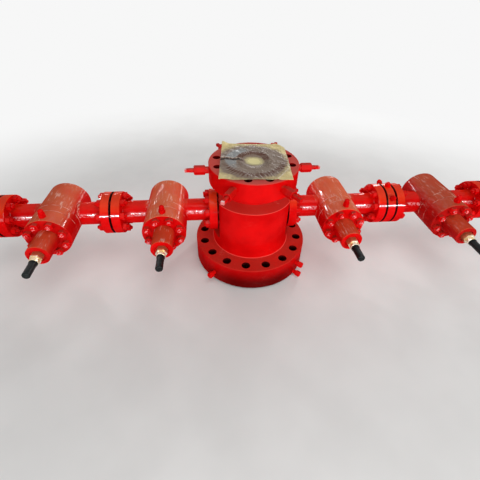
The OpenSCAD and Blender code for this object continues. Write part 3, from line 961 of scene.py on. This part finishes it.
@dataclass(frozen=True)
class OiledPaper:
    """Thin khaki paper, grey and glossy where grease has soaked in.

    Where the grease lies, where it is thick and slate grey, where it is dirty brown with painted
    shade, and where crests carry painted highlights are read from the sheet's own attributes.

    Args:
        name: the material's name.
        dry: linear colour of dry paper.
        pale: linear colour of its paler patches.
        clean: linear colour of the clean middle.
        clean_within: distance from the Z axis within which the paper is clean, and
            beyond which it isn't.
        soaked: linear colour of soaked paper.
        slate: linear colour of thick grease.
        brown: linear colour of dirty grease, also painted shade in the pleats' valleys.
        crease_shadow: linear colour of the painted shadow in the deep crease.
        crest_highlight: linear colour of the painted highlights on crests and of the painted glints.
    """

    name: str = "oiled_paper"
    dry: Colour = (0.60, 0.48, 0.23, 1.0)
    pale: Colour = (0.80, 0.67, 0.34, 1.0)
    clean: Colour = (0.80, 0.71, 0.36, 1.0)
    clean_within: Pair = (45.0 * MM, 70.0 * MM)
    soaked: Colour = (0.215, 0.158, 0.122, 1.0)
    slate: Colour = (0.240, 0.245, 0.243, 1.0)
    brown: Colour = (0.112, 0.051, 0.035, 1.0)
    crease_shadow: Colour = (0.030, 0.022, 0.018, 1.0)
    crest_highlight: Colour = (0.62, 0.55, 0.46, 1.0)

    def build(self) -> Material:
        """Builds the paper.

        Returns:
            The material: dry, soaked, slate, brown with painted shade, the crease's painted shadow and
            painted highlights in turn by the attributes, and crumples as bump.
        """
        material, tree, paper = blank_material(self.name)
        grease, slate, brown, crest_highlight = (
            tree.out("Attribute", "Fac", {"attribute_name": name}) for name in ("grease", "slate", "brown", "crest_highlight")
        )
        blot = tree.noise(70.0, 4.0).scaled(0.4, -0.2)
        edge = (grease + blot).ramp(0.1, 0.8)
        near, far = self.clean_within
        dry = tree.mix(tree.noise(25.0, 3.0).ramp(0.35, 0.7), self.dry, self.pale)
        dry = tree.mix(tree.at[0].hypot(tree.at[1]).ramp(far, near), dry, self.clean)
        thick = tree.noise(38.0, 3.0).scaled(0.9, -0.4)
        wet = tree.mix((slate + thick).ramp(0.25, 0.85), self.soaked, self.slate)
        # Brown: dirty grease, with painted shade in the pleats' valleys.
        dirty = tree.mix((brown + blot).ramp(0.15, 0.9), tree.mix(edge, dry, wet), self.brown)
        # Painted shadow in the crease, where the brown share is over 1.
        dirty = tree.mix(brown.ramp(1.0, 1.7), dirty, self.crease_shadow)
        # Painted glints on the thick grease, and painted highlights on the crests.
        glint = tree.noise(120.0, 3.0, 0.65).ramp(0.6, 0.68) * (slate * 0.8)
        bright = (crest_highlight * tree.noise(90.0, 2.0).ramp(0.3, 0.6)).maths("MAXIMUM", glint)
        to_edge = {"feature": "DISTANCE_TO_EDGE"}
        cells = tree.out("TexVoronoi", "Distance", to_edge, Vector=tree.place, Scale=55.0)
        crumple = cells.ramp(0.0, 0.12) * 0.3 + tree.noise(130.0, 4.0)
        tree.put(
            paper, Base_Color=tree.mix(bright, dirty, self.crest_highlight), Roughness=edge.scaled(-0.2, 0.65),
            Specular_IOR_Level=0.1, Coat_Weight=edge * slate * 0.35, Coat_Roughness=0.2,
            Normal=tree.bump(crumple, 0.4, 0.8 * MM),
        )
        return material


@dataclass(frozen=True)
class Finishes:
    """The finishes of the part, each built once."""

    head_paint: Material
    valve_paint: Material
    trim_paint: Material
    bolt_paint: Material
    screw_paint: Material
    brass: Material
    rubber: Material
    paper: Material

    @staticmethod
    def make() -> "Finishes":
        """Builds the shared effects and then every finish.

        Returns:
            The materials.
        """
        for build_group in (dust_group, peel_group, scuff_group, bores_group, edge_highlight_group):
            build_group()
        # Bolt rings whose bores are painted dark: grease and painted shade.
        rings = (
            BoltRing(16.0, 282.6 * MM, 24.6 * MM, 0.0, 140.5 * MM),
            BoltRing(12.0, 201.6 * MM, 21.3 * MM, 500.0 * MM, 632.5 * MM, 0.75),
        )
        # Round edges and fillets of the head that carry painted highlights.
        edges = tuple(
            (reach * MM, level * MM)
            for reach, level in ((327.0, 141.3), (222.0, 442.0), (239.7, 633.0), (225.0, 143.5), (167.5, 521.0))
        )
        # Orange on the valves' tops: dust and painted reflection of a bright sky.
        haze_and_sky_reflection = (0.64, 0.165, 0.076, 1.0)
        brown = (0.34, 0.045, 0.028, 1.0)
        centres = tuple(float(sum(corner.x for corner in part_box(arm + "_packing_nut"))) / 2 for arm in ARMS)
        finishes = (
            # Head: painted shade near the floor, dark dust that is also painted shade, and painted skylight above the
            # upper flange's face.
            RedEnamel("head_enamel", foot_shade_below=138.0 * MM, skylit_above=628.0 * MM, rings=rings, edges=edges),
            RedEnamel(
                "valve_enamel", dust=haze_and_sky_reflection, dust_share=0.95, dust_facing=(0.05, 0.75),
                dust_above=(372.0 * MM, 436.0 * MM), marks=ValveMarks(centres),
            ),
            RedEnamel("trim_enamel", dust_share=0.1, peel=0.2, scratches=0.1),
            # Bolts: painted glints on the studs' front ends.
            RedEnamel(
                "bolt_enamel", dust=brown, dust_share=0.75, dust_facing=(0.25, 0.85), peel=0.2, scratches=0.15,
                coat=(0.03, 0.08), tips_before=-228.0 * MM,
            ),
            # Lock screws: pale tips are bare metal with a painted highlight.
            RedEnamel(
                "screw_enamel", dust=brown, dust_share=0.6, peel=0.2, scratches=0.15,
                tip_glint_beyond=352.0 * MM, coat=(0.04, 0.10),
            ),
            TurnedBrass(), CapRubber(), OiledPaper(),
        )
        return Finishes(*(finish.build() for finish in finishes))


# Carried-over pieces


class PackedPieces:
    """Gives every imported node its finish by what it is."""

    def __init__(self, finishes: Finishes) -> None:
        """Keeps the finishes, each with the words that call for it, in the order of the test."""
        self.rules = (
            (("packing_nut",), finishes.brass),
            (("stem_cap",), finishes.rubber),
            (("paper_cover",), finishes.paper),
            (("fitting", "plugs"), finishes.trim_paint),
            (("screw",), finishes.screw_paint),
            (("valve_body", "bonnet", "spacer", "end_flange"), finishes.valve_paint),
            (("",), finishes.head_paint),
        )

    def finish_of(self, name: str) -> Material:
        """The finish of a node, by the words in its name."""
        return next(finish for words, finish in self.rules if any(word in name for word in words))

    def dress(self) -> None:
        """Puts the finishes on the nodes' material slots."""
        for name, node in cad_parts.items():
            node.data.materials.clear()
            node.data.materials.append(self.finish_of(name))
        LOG.info("dressed %d packed nodes", len(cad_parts))


# Studs and nuts


@dataclass(frozen=True)
class StudSet:
    """Studs and heavy hexagon nuts of one size.

    Args:
        stud_d: outside diameter of the thread.
        pitch: distance between threads.
        thread_depth: depth of the thread.
        stud_points: points in a ring of the stud.
        nut_af: nut's width across flats.
        nut_h: nut's height.
        nut_points: points in a ring of the nut.
        nut_ring: radius of the nut's flat ring, as a share of the width across flats.
        past_nut: how far a stud stands out of its nut.
        seed: seed of the nuts' random turns.
        lower_seed: added to it for the lower nuts.
    """

    stud_d: float = 22.2 * MM
    pitch: float = 3.175 * MM
    thread_depth: float = 1.7 * MM
    stud_points: int = 20
    nut_af: float = 36.5 * MM
    nut_h: float = 21.8 * MM
    nut_points: int = 48
    nut_ring: float = 0.475
    past_nut: float = 11.0 * MM
    seed: int = 7
    lower_seed: int = 50

    def nut(self) -> Surface:
        """One nut, standing on z = 0.

        The section runs from the thread's wall out over a flat ring, down a 30
        degree chamfer to the flats and back. The hexagon's radius at angle t is half
        the width across flats over the cosine of t's distance from the nearest flat.

        Returns:
            A ring closed on itself, about the Z axis.
        """
        angle = np.arange(self.nut_points) * TAU / self.nut_points
        from_flat = (angle + TAU / 12) % (TAU / 6) - TAU / 12
        hexagon = 0.5 * self.nut_af / np.cos(from_flat)
        ring = np.full_like(angle, self.nut_ring * self.nut_af)
        wall = np.full_like(angle, 0.5 * self.stud_d - self.thread_depth)
        drop = (hexagon - ring) * math.tan(math.radians(30.0))
        base, top = np.zeros_like(angle), np.full_like(angle, self.nut_h)
        radii = np.stack([wall, ring, hexagon, hexagon, ring, wall])
        heights = np.stack([base, base, drop, top - drop, top, top])
        return Surface(around(radii, heights), grid_quads(*radii.shape, True, True)).outward()

    def stud(self, length: float, low_thread: float, high_thread: float) -> Surface:
        """One stud, from z = 0 to its length.

        Its radius is the outside radius less a triangle wave of z / pitch minus the
        turn, so the thread is a true helix. Between the threaded ends it is plain,
        and each end has a 45 degree chamfer.

        Args:
            length: overall length.
            low_thread: length of fine rows at the lower end.
            high_thread: length of fine rows at the upper end.

        Returns:
            A closed surface about the Z axis.
        """
        step = self.pitch / 4
        low = np.arange(0.0, low_thread, step)
        high = length - np.arange(0.0, high_thread, step)[::-1]
        middle = np.linspace(low_thread + step, length - high_thread - step, 3)
        z = np.concatenate([low, middle, high])[:, None]
        turn = (np.arange(self.stud_points) / self.stud_points)[None]
        wave = np.abs(((z / self.pitch - turn) % 1.0) * 2.0 - 1.0)
        cut = np.where((z < low_thread) | (z > length - high_thread), 1.0, 0.0)
        radius = 0.5 * self.stud_d - self.thread_depth * (1.0 - cut * wave) * cut
        chamfer = 0.5 * self.stud_d - 2.0 * self.thread_depth + np.minimum(z, length - z)
        radius = np.minimum(radius, chamfer)
        return closed_turning(radius, np.broadcast_to(z, radius.shape))

    def spins(self, count: int, offset: int) -> Array:
        """Random turns of the nuts, the same on every run."""
        return np.random.default_rng(self.seed + offset).uniform(0.0, TAU / 6, count)


class Sides(Enum):
    """Which ends of a joint's studs carry nuts."""

    HIGH = 1
    BOTH = 2


@dataclass(frozen=True)
class BoltedJoint:
    """A ring of studs through one joint.

    Args:
        name: the piece's name.
        centre: point on the joint's axis from which low and high are measured.
        axis: direction of the studs.
        low: where the lower nut seats, or where the studs start in tapped holes.
        high: where the upper nut seats.
        circle: radius of the bolt circle.
        count: number of studs.
        sides: which ends carry nuts.
    """

    name: str
    centre: Vector
    axis: Vector
    low: float
    high: float
    circle: float
    count: int
    sides: Sides

    def build(self, studs: StudSet, material: Material, offset: int) -> bpy.types.Object:
        """Makes the joint's studs and nuts as one piece.

        Args:
            studs: the size of studs and nuts.
            material: their finish.
            offset: added to the seed, so joints differ.

        Returns:
            The piece.
        """
        beyond = studs.nut_h + studs.past_nut
        spins = studs.spins(self.count, offset)
        start, low_thread = self.low, studs.pitch
        parts = [studs.nut().placed(self.places(self.high, spins))]
        if self.sides is Sides.BOTH:
            start, low_thread = self.low - beyond, beyond
            lower_spins = studs.spins(self.count, offset + studs.lower_seed)
            parts.append(studs.nut().placed(self.places(self.low - studs.nut_h, lower_spins)))
        stud = studs.stud(self.high + beyond - start, low_thread, beyond)
        return make_piece(self.name, joined([stud.placed(self.places(start, spins)), *parts]), material)

    def places(self, at: float, spins: Array) -> Array:
        """Matrices of the bolt circle at a distance along the axis."""
        return places_on_circle(self.centre + self.axis * at, self.axis, self.circle, spins)


@dataclass(frozen=True)
class ArmBolting:
    """Every stud and nut of the two arms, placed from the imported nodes.

    Args:
        flange_t: thickness of an arm flange with its raised face.
        flange_circle: radius of the arm flanges' bolt circle.
        bonnet_circle: radius of the bonnets' bolt circle.
        drum_length: length of the bonnets' drum, which starts at the joint with the body.
        bolts: number of studs in each joint.
        head_reach: depth to which studs are screwed into the head.
        bonnet_reach: depth to which studs are screwed behind a bonnet's face.
        studs: size of the studs and nuts.
    """

    flange_t: float = 50.8 * MM
    flange_circle: float = 92.1 * MM
    bonnet_circle: float = 89.0 * MM
    drum_length: float = 84.0 * MM
    bolts: int = 8
    head_reach: float = 30.0 * MM
    bonnet_reach: float = 60.0 * MM
    studs: StudSet = StudSet()

    def bonnet_joints(self) -> list[BoltedJoint]:
        """The bonnet joints, each one drum's length in front of the bonnet's joint with the body.

        Returns:
            Four joints.
        """
        joints = []
        for arm in ARMS:
            nut_low, nut_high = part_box(arm + "_packing_nut")
            face = (nut_low + nut_high) / 2
            face.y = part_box(arm + "_bonnet")[1].y - self.drum_length
            forward = Vector((0.0, -1.0, 0.0))
            sizes = (-self.bonnet_reach, 0.0, self.bonnet_circle, self.bolts, Sides.HIGH)
            joints.append(BoltedJoint(arm + "_bonnet_bolts", face, forward, *sizes))
        return joints

    def flange_joints(self) -> list[BoltedJoint]:
        """The joints of both arms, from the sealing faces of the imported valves.

        Returns:
            Three joints for each arm.
        """
        joints = []
        for side, sign in (("left", -1.0), ("right", 1.0)):
            valves = (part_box(f"{side}_{which}_valve_body") for which in ("inner", "outer"))
            faces = sorted(abs(corner.x) for box in valves for corner in box)
            end_low, end_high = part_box(side + "_end_flange")
            centre = Vector((0.0, 0.0, (end_low.z + end_high.z) / 2))
            spans = (
                ("head", faces[0] - self.head_reach, faces[0] + self.flange_t, Sides.HIGH),
                ("middle", faces[1] - self.flange_t, faces[2] + self.flange_t, Sides.BOTH),
                ("end", faces[3] - self.flange_t, faces[3] + self.flange_t, Sides.BOTH),
            )
            for place, low, high, sides in spans:
                sizes = (low, high, self.flange_circle, self.bolts, sides)
                joints.append(BoltedJoint(f"{side}_{place}_bolts", centre, Vector((sign, 0.0, 0.0)), *sizes))
        return joints

    def build(self, material: Material) -> None:
        """Makes every joint's studs and nuts.

        Args:
            material: their finish.
        """
        for i, joint in enumerate(self.bonnet_joints() + self.flange_joints()):
            piece = joint.build(self.studs, material, i)


# Paper cover


def ridge(value: Array) -> Array:
    """Sharp crests at whole numbers and round valleys between: (1 - |sin|) squared."""
    return (1.0 - np.abs(np.sin(math.pi * value))) ** 2


def smooth(value: Array, low: float, high: float) -> Array:
    """Smooth step from 0 at low to 1 at high."""
    t = np.clip((value - low) / (high - low), 0.0, 1.0)
    return t * t * (3.0 - 2.0 * t)


def band(value: Array, rise: Pair, fall: Pair) -> Array:
    """Smooth step up over one span times one down over another."""
    return smooth(value, *rise) * (1.0 - smooth(value, *fall))


def bell(value: Array, middle: float, width: float) -> Array:
    """Hump of height 1: e to minus the square of the distance from its middle over its width."""
    return np.exp(-(((value - middle) / width) ** 2))


def wander(x: Array, y: Array, scale: float, seed: int, waves: int = 14) -> Array:
    """Slow smooth noise about zero: a sum of plane waves in random directions.

    Args:
        x: positions, in metres.
        y: positions, in metres.
        scale: typical wavelength, in metres.
        seed: seed of the waves.
        waves: number of waves.

    Returns:
        Values between about -1 and 1.
    """
    rng = np.random.default_rng(seed)
    heading = rng.uniform(0.0, TAU, waves)
    length = scale * rng.uniform(0.6, 1.7, waves)
    phase = rng.uniform(0.0, TAU, waves)
    along = x[..., None] * np.cos(heading) + y[..., None] * np.sin(heading)
    return np.sin(TAU * along / length + phase).sum(-1) / waves**0.5


def near_line(x: Array, y: Array, line: tuple[Pair, ...]) -> tuple[Array, Array]:
    """Signed distance from a bent line, and how far along it the nearest point lies.

    For each straight piece the foot of the perpendicular is held between its ends,
    and the nearest piece counts. The sign is positive on the left of the line.

    Args:
        x: positions, in metres.
        y: positions, in metres.
        line: its points in order.

    Returns:
        The distance, and the share of the line's pieces passed, from 0 to 1.
    """
    best, signed, share = np.full(x.shape, np.inf), np.zeros(x.shape), np.zeros(x.shape)
    for i, ((ax, ay), (bx, by)) in enumerate(zip(line[:-1], line[1:])):
        dx, dy = bx - ax, by - ay
        foot = np.clip(((x - ax) * dx + (y - ay) * dy) / (dx * dx + dy * dy), 0.0, 1.0)
        away = np.hypot(x - ax - foot * dx, y - ay - foot * dy)
        side = np.sign(dx * (y - ay) - dy * (x - ax))
        closer = away < best
        best = np.where(closer, away, best)
        signed = np.where(closer, side * away, signed)
        share = np.where(closer, (i + foot) / (len(line) - 1), share)
    return signed, share


@dataclass(frozen=True)
class PaperCover:
    """Square sheet of oiled paper laid over the bowl, creased by the face under it.

    Args:
        corners: x and y of the back left, front left, front right and back right
            corner on the flange.
        cut: how far from its tip the back right corner is cut off.
        pressed: how far what lies beyond the cut is pressed back to it, as a share.
        bowl_r: radius of the bowl that the sheet sags into.
        face_r: radius of the raised face that it lies on.
        groove: inner and outer radius of the ring groove.
        sag: depth of the sag in the bowl.
        pleats: number of pleats round the bowl.
        crease: the deep crease, from the left edge to the bowl.
        fold: the fold across the front right corner.
        thickness: thickness of the paper.
        rows: points along Y.
        cols: points along X.
    """

    corners: tuple[Pair, ...] = ((-0.157, 0.216), (-0.194, -0.188), (0.167, -0.204), (0.198, 0.191))
    cut: float = 33.0 * MM
    pressed: float = 0.94
    bowl_r: float = 89.7 * MM
    face_r: float = 150.9 * MM
    groove: Pair = (97.5 * MM, 120.9 * MM)
    sag: float = 11.0 * MM
    pleats: int = 58
    crease: tuple[Pair, ...] = (
        (-0.184, 0.012), (-0.145, 0.021), (-0.111, 0.007), (-0.078, 0.009), (-0.045, 0.004),
    )
    fold: tuple[Pair, ...] = ((0.172, -0.088), (0.090, -0.198))
    thickness: float = 0.25 * MM
    rows: int = 210
    cols: int = 190

    @cached_property
    def plan(self) -> tuple[Array, Array]:
        """X and Y of every point.

        The corners are blended across the grid, and what lies beyond the cut of the
        back right corner is pressed back to its line.
        """
        v, u = np.meshgrid(np.linspace(0.0, 1.0, self.rows), np.linspace(0.0, 1.0, self.cols), indexing="ij")
        places = [np.array(corner) for corner in self.corners]
        weights = ((1 - v) * (1 - u), v * (1 - u), v * u, (1 - v) * u)
        flat = sum(w[..., None] * p for w, p in zip(weights, places))
        back_left, _, front_right, tip = places
        inward = sum((p - tip) / np.linalg.norm(p - tip) for p in (back_left, front_right))
        inward = inward / np.linalg.norm(inward)
        depth = (flat - tip) @ inward
        push = self.pressed * np.maximum(self.cut - depth, 0.0)
        flat = flat + push[..., None] * inward
        return flat[..., 0], flat[..., 1]

    @cached_property
    def polar(self) -> tuple[Array, Array]:
        """Distance of every point from the Z axis, and its turn from +X."""
        x, y = self.plan
        return np.hypot(x, y), np.arctan2(y, x)

    @cached_property
    def bands(self) -> tuple[Array, Array]:
        """Where the pleats show.

        Returns:
            A band at the bowl's edge, and one beyond the raised face, strongest in front.
        """
        r, _ = self.polar
        front = 0.25 + 0.75 * smooth(-self.plan[1], -0.030, 0.090)
        return band(r, (0.050, 0.066), (0.092, 0.106)), band(r, (0.128, 0.148), (0.176, 0.204)) * front

    def pleat(self, shift: float) -> Array:
        """Crests of the pleats that run out from the bowl, bent by a slow noise."""
        turn = self.polar[1] / TAU
        return ridge(self.pleats * turn + 0.45 * wander(*self.plan, 85.0 * MM, 3) + shift)

    def height(self, top: float) -> Array:
        """Height of the sheet.

        It lies on the raised face, sags into the bowl as a dish, dips a little along
        the ring groove and slopes down beyond the raised face. Over that come the
        pleats, a few slow waves, the deep crease with a ridge behind it, the fold of
        the front right corner and the lifted tip of the back left one.

        Args:
            top: height of the raised face.

        Returns:
            The height of every point, in metres.
        """
        (x, y), (r, _), (inner, outer) = self.plan, self.polar, self.bands
        z = np.full_like(r, top + 1.0 * MM)
        z -= self.sag * smooth(self.bowl_r - r, 0.0, 56.0 * MM)
        z -= 1.0 * MM * bell(r, 0.5 * sum(self.groove), 7.0 * MM)
        z -= 3.6 * MM * smooth(r, self.face_r, self.face_r + 60.0 * MM)
        vary = 0.65 + 0.35 * wander(x, y, 90.0 * MM, 5)
        z += self.pleat(0.0) * vary * (3.4 * MM * inner + 2.6 * MM * outer)
        z += 0.9 * MM * wander(x, y, 60.0 * MM, 11) * smooth(r, 0.030, 0.120)
        z += 0.5 * MM * wander(x, y, 17.0 * MM, 31, 24) * smooth(r, 0.055, 0.080)
        away, along = near_line(x, y, self.crease)
        fade = 1.0 - smooth(along, 0.55, 1.0)
        z += fade * (9.0 * MM * bell(away, 13.0 * MM, 6.5 * MM) + 2.0 * MM * bell(away, -12.0 * MM, 6.0 * MM))
        beyond, _ = near_line(x, y, self.fold)
        z += 2.2 * MM * bell(beyond, 0.0, 4.0 * MM) - 0.10 * np.maximum(beyond, 0.0)
        z += smooth(r, 0.190, 0.262) * (1.5 * MM + 3.0 * MM * wander(x, y, 160.0 * MM, 17))
        tip = np.hypot(x - self.corners[0][0], y - self.corners[0][1])
        z += 15.0 * MM * (1.0 - smooth(tip, 0.0, 42.0 * MM))
        under = top + 0.3 * MM - 5.6 * MM * smooth(r, self.face_r, self.face_r + 4.0 * MM)
        return np.maximum(z, np.where(r > self.bowl_r + 2.0 * MM, under, -1.0))

    def grease(self) -> Array:
        """Share of grease.

        Returns:
            A broad ring round the bowl that fades towards the edges, with a dry patch in
            the middle.
        """
        (x, y), (r, turn) = self.plan, self.polar
        ragged = 5.0 * MM * wander(x, y, 45.0 * MM, 23)
        r = r * (1.0 - 0.08 * np.cos(turn - math.radians(215.0))) + ragged
        tilt, x, y = math.radians(-28.0), x - 3.0 * MM, y - 3.0 * MM
        along = x * math.cos(tilt) + y * math.sin(tilt)
        across = y * math.cos(tilt) - x * math.sin(tilt)
        middle = np.hypot(along * 1.25, across * 1.45) + 0.3 * ragged
        inner = 0.35 * smooth(middle, 0.036, 0.046) + 0.65 * smooth(middle, 0.046, 0.096)
        return inner * (1.0 - 0.5 * smooth(r, 0.160, 0.190) - 0.5 * smooth(r, 0.190, 0.232))

    def slate(self) -> Array:
        """Share of thick grey grease.

        Returns:
            A ring over the raised face, thick on the left and behind, thin on the right.
        """
        r, turn = self.polar
        side = 0.1 + np.maximum(np.cos(turn - math.radians(158.0)), 0.0) ** 2
        return band(r, (0.084, 0.104), (0.140, 0.164)) * side

    def brown(self) -> Array:
        """Share of dirty grease and painted shade.

        Returns:
            Dirty grease with painted shade in the valleys between the pleats, brown on the back of the
            dish's wall, and painted shadow along the crease, where it is over 1.
        """
        (x, y), (r, turn), (inner, outer) = self.plan, self.polar, self.bands
        patches = 0.6 + 0.4 * wander(x, y, 70.0 * MM, 41)
        # Pleat valleys: dirty grease and painted shade.
        valleys = self.pleat(0.5) ** 0.6 * patches * (0.8 * inner + 0.85 * outer)
        shift = 22.0 * MM * np.maximum(np.cos(turn - math.radians(100.0)), 0.0)
        wall = band(r - shift, (0.044, 0.058), (0.078, 0.092)) * smooth(y + 0.2 * np.abs(x), -0.005, 0.045)
        ring = band(r, (0.132, 0.150), (0.158, 0.184)) * 0.6 * smooth(-y, 0.0, 0.080)
        # Painted shadow along the crease.
        away, along = near_line(x, y, self.crease)
        line = bell(away, -1.0 * MM, 7.5 * MM) * (1.0 - smooth(along, 0.7, 1.0))
        return np.clip(valleys + wall + ring, 0.0, 1.0) + 3.0 * line

    def crest_highlight(self) -> Array:
        """Share of painted highlight.

        Returns:
            Painted highlight lines on the pleats' crests, along the ridge behind the crease and on the fold.
        """
        inner, outer = self.bands
        broken = 0.7 + 0.5 * wander(*self.plan, 60.0 * MM, 43)
        # Painted highlights on the pleats' crests, on the ridge behind the crease and on the fold.
        crests = self.pleat(0.0) ** 1.5 * (0.55 * inner + 0.2 * outer) * broken
        away, along = near_line(*self.plan, self.crease)
        strip = bell(away, 13.0 * MM, 4.2 * MM) * (1.0 - smooth(along, 0.6, 0.9))
        beyond, _ = near_line(*self.plan, self.fold)
        return np.clip(crests + 0.8 * strip + 0.7 * bell(beyond, 0.0, 2.6 * MM), 0.0, 1.0)

    def build(self, material: Material) -> None:
        """Args:
            material: the paper's finish.
        """
        z = self.height(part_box("head_body")[1].z)
        points = np.stack([*self.plan, z], -1).reshape(-1, 3)
        quads = grid_quads(self.rows, self.cols)[:, ::-1]
        sheet = make_piece("oiled_paper_sheet", Surface(points, quads), material, sharp_deg=75.0)
        for share in (self.grease, self.slate, self.brown, self.crest_highlight):
            layer = sheet.data.attributes.new(share.__name__, "FLOAT", "POINT")
            layer.data.foreach_set("value", share().astype(np.float32).ravel())
        solid = sheet.modifiers.new("thickness", "SOLIDIFY")
        solid.thickness = self.thickness
        solid.offset = 1.0
        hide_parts("paper_cover")
        width, length = self.flat_size()

    def flat_size(self) -> Pair:
        """Size of the sheet before it was laid.

        Returns:
            Width and length, the means of its opposite sides.
        """
        places = [np.array(corner) for corner in self.corners]
        left, front, right, back = (float(np.linalg.norm(places[i] - places[i - 3])) for i in range(4))
        return (front + back) / 2, (left + right) / 2


# Studio


@dataclass(frozen=True)
class Lamp:
    """A rectangular area lamp on a sphere round the part, looking at its middle.

    Args:
        name: the lamp's name.
        azimuth_deg: its direction from the middle, from +Y towards +X.
        height_deg: how high it stands above the level, as an angle.
        distance: its distance from the middle.
        size: its width and height.
        power: its power in watts.
        lean_deg: turn about its own line of sight.
    """

    name: str
    azimuth_deg: float
    height_deg: float
    distance: float
    size: Pair
    power: float
    lean_deg: float = 0.0

    def build(self, middle: Vector) -> None:
        """Hangs the lamp, hidden from the camera but not from glossy surfaces.

        Args:
            middle: the point that it looks at.
        """
        azimuth, height = math.radians(self.azimuth_deg), math.radians(self.height_deg)
        level = math.cos(height)
        out = Vector((math.sin(azimuth) * level, math.cos(azimuth) * level, math.sin(height)))
        data = bpy.data.lights.new(self.name, "AREA")
        data.shape = "RECTANGLE"
        data.size, data.size_y = self.size
        data.energy = self.power
        lamp = in_scene(self.name, data)
        lamp.location = middle + self.distance * out
        turn = (-out).to_track_quat("-Z", "Y") @ Quaternion((0.0, 0.0, 1.0), math.radians(self.lean_deg))
        lamp.rotation_mode = "QUATERNION"
        lamp.rotation_quaternion = turn
        lamp.visible_camera = False


@dataclass(frozen=True)
class Studio:
    """Floor, background, lamps and the photograph's camera.

    Args:
        eye: camera's place.
        pitch_deg: how far it looks down.
        yaw_deg: how far it turns from +Y towards +X.
        roll_deg: how far it leans, clockwise as seen from behind.
        focal_px: focal length, in pixels of the 480 pixel wide frame.
        centre_px: the optical axis in that frame, x and y from the top left.
        frame_px: the frame's width and height.
        aim: the point that the lamps look at.
        floor_half: half the floor's width.
        floor_tones: the two linear colours of the floor.
        white: linear colour of the background.
        light: strength of the world where it lights the part. Where it is seen, it is 1.
        lamps: the lamps.
    """

    eye: Place = (-0.23216, -1.49419, 1.40705)
    pitch_deg: float = 36.706
    yaw_deg: float = 6.387
    roll_deg: float = 1.690
    focal_px: float = 317.24
    centre_px: Pair = (240.0, 214.2)
    frame_px: float = 480.0
    aim: Place = (0.0, 0.0, 0.35)
    floor_half: float = 30.0
    floor_tones: tuple[Colour, Colour] = ((0.68, 0.68, 0.67, 1.0), (0.72, 0.72, 0.71, 1.0))
    white: Colour = (0.93, 0.93, 0.93, 1.0)
    light: float = 0.28
    lamps: tuple[Lamp, ...] = (
        Lamp("front_strip", 171.5, 15.0, 4.0, (8.8, 0.05), 185.0),
        Lamp("back_strip", 4.0, 7.0, 5.0, (7.5, 0.6), 130.0),
        Lamp("right_window", 36.0, 13.0, 4.9, (0.4, 1.4), 80.0),
        Lamp("left_window", -32.0, 20.0, 4.9, (0.12, 1.9), 50.0, 44.0),
        Lamp("roof_light", 150.0, 72.0, 4.2, (3.0, 2.0), 45.0),
    )

    def camera(self) -> None:
        """Makes the camera of the photograph.

        Its axes are worked out from pitch, yaw and roll: forward is (sin yaw cos
        pitch, cos yaw cos pitch, -sin pitch), and right and up are turned about it
        by the roll. The vertical shift puts the optical axis above the middle.
        """
        pitch, yaw, roll = (math.radians(a) for a in (self.pitch_deg, self.yaw_deg, self.roll_deg))
        forward = Vector((math.sin(yaw) * math.cos(pitch), math.cos(yaw) * math.cos(pitch), -math.sin(pitch)))
        level = Vector((math.cos(yaw), -math.sin(yaw), 0.0))
        over = level.cross(forward)
        right = math.cos(roll) * level + math.sin(roll) * over
        up = -math.sin(roll) * level + math.cos(roll) * over
        data = bpy.data.cameras.new("photo_camera")
        data.sensor_width = 36.0
        data.lens = self.focal_px / self.frame_px * data.sensor_width
        data.shift_x = (self.frame_px / 2 - self.centre_px[0]) / self.frame_px
        data.shift_y = (self.centre_px[1] - self.frame_px / 2) / self.frame_px
        camera = in_scene("photo_camera", data)
        turn = Matrix((right, up, -forward)).transposed()
        camera.matrix_world = Matrix.Translation(self.eye) @ turn.to_4x4()
        bpy.context.scene.camera = camera

    def floor(self) -> None:
        """Lays a pale floor, which the camera sees blend into white from 1.3 m to 3.4 m out from the middle."""
        half = self.floor_half
        mesh = bpy.data.meshes.new("floor")
        corners = [(-half, -half, 0.0), (half, -half, 0.0), (half, half, 0.0), (-half, half, 0.0)]
        mesh.from_pydata(corners, [], [(0, 1, 2, 3)])
        material, tree, plain = blank_material("pale_floor")
        colour = tree.mix(tree.noise(3.0).ramp(0.3, 0.7), *self.floor_tones)
        tree.put(plain, Base_Color=colour, Roughness=0.9, Specular_IOR_Level=0.0)
        reach = tree.out("VectorMath", "Value", {"operation": "LENGTH"}, Vector=tree.place)
        seen = tree.out("LightPath", "Is Camera Ray")
        blend = tree.node("MixShader", Fac=reach.ramp(1.3, 3.4) * seen)
        tree.set(blend.inputs[1], Wire(tree, plain.outputs[0]))
        tree.set(blend.inputs[2], tree.out("Emission", 0, Color=self.white))
        tree.put(material.node_tree.nodes["Material Output"], Surface=Wire(tree, blend.outputs[0]))
        mesh.materials.append(material)
        floor = in_scene("floor", mesh)

    def world(self) -> None:
        """Lights the part evenly, and shows white where the camera or a gloss sees past it."""
        world = bpy.data.worlds.new("studio_world")
        world.use_nodes = True
        bpy.context.scene.world = world
        tree = Tree(world.node_tree)
        rays = ("Is Camera Ray", "Is Transmission Ray", "Is Glossy Ray")
        camera, through, gloss = (tree.out("LightPath", ray) for ray in rays)
        seen = camera.maths("MAXIMUM", through).maths("MAXIMUM", gloss)
        strength = seen.scaled(1.0 - self.light, self.light)
        tree.put(world.node_tree.nodes["Background"], Color=self.white, Strength=strength)

    def build(self) -> None:
        """Sets up the whole studio."""
        bpy.context.scene.view_settings.view_transform = "Standard"
        self.camera()
        self.floor()
        self.world()
        for lamp in self.lamps:
            lamp.build(Vector(self.aim))


def main() -> None:
    """Builds the studio, the finishes and every piece, in order."""
    logging.basicConfig(level=logging.INFO, format="%(name)s: %(message)s")
    Studio().build()
    finishes = Finishes.make()
    PackedPieces(finishes).dress()
    ArmBolting().build(finishes.bolt_paint)
    PaperCover().build(finishes.paper)


if __name__ == "__main__":
    main()
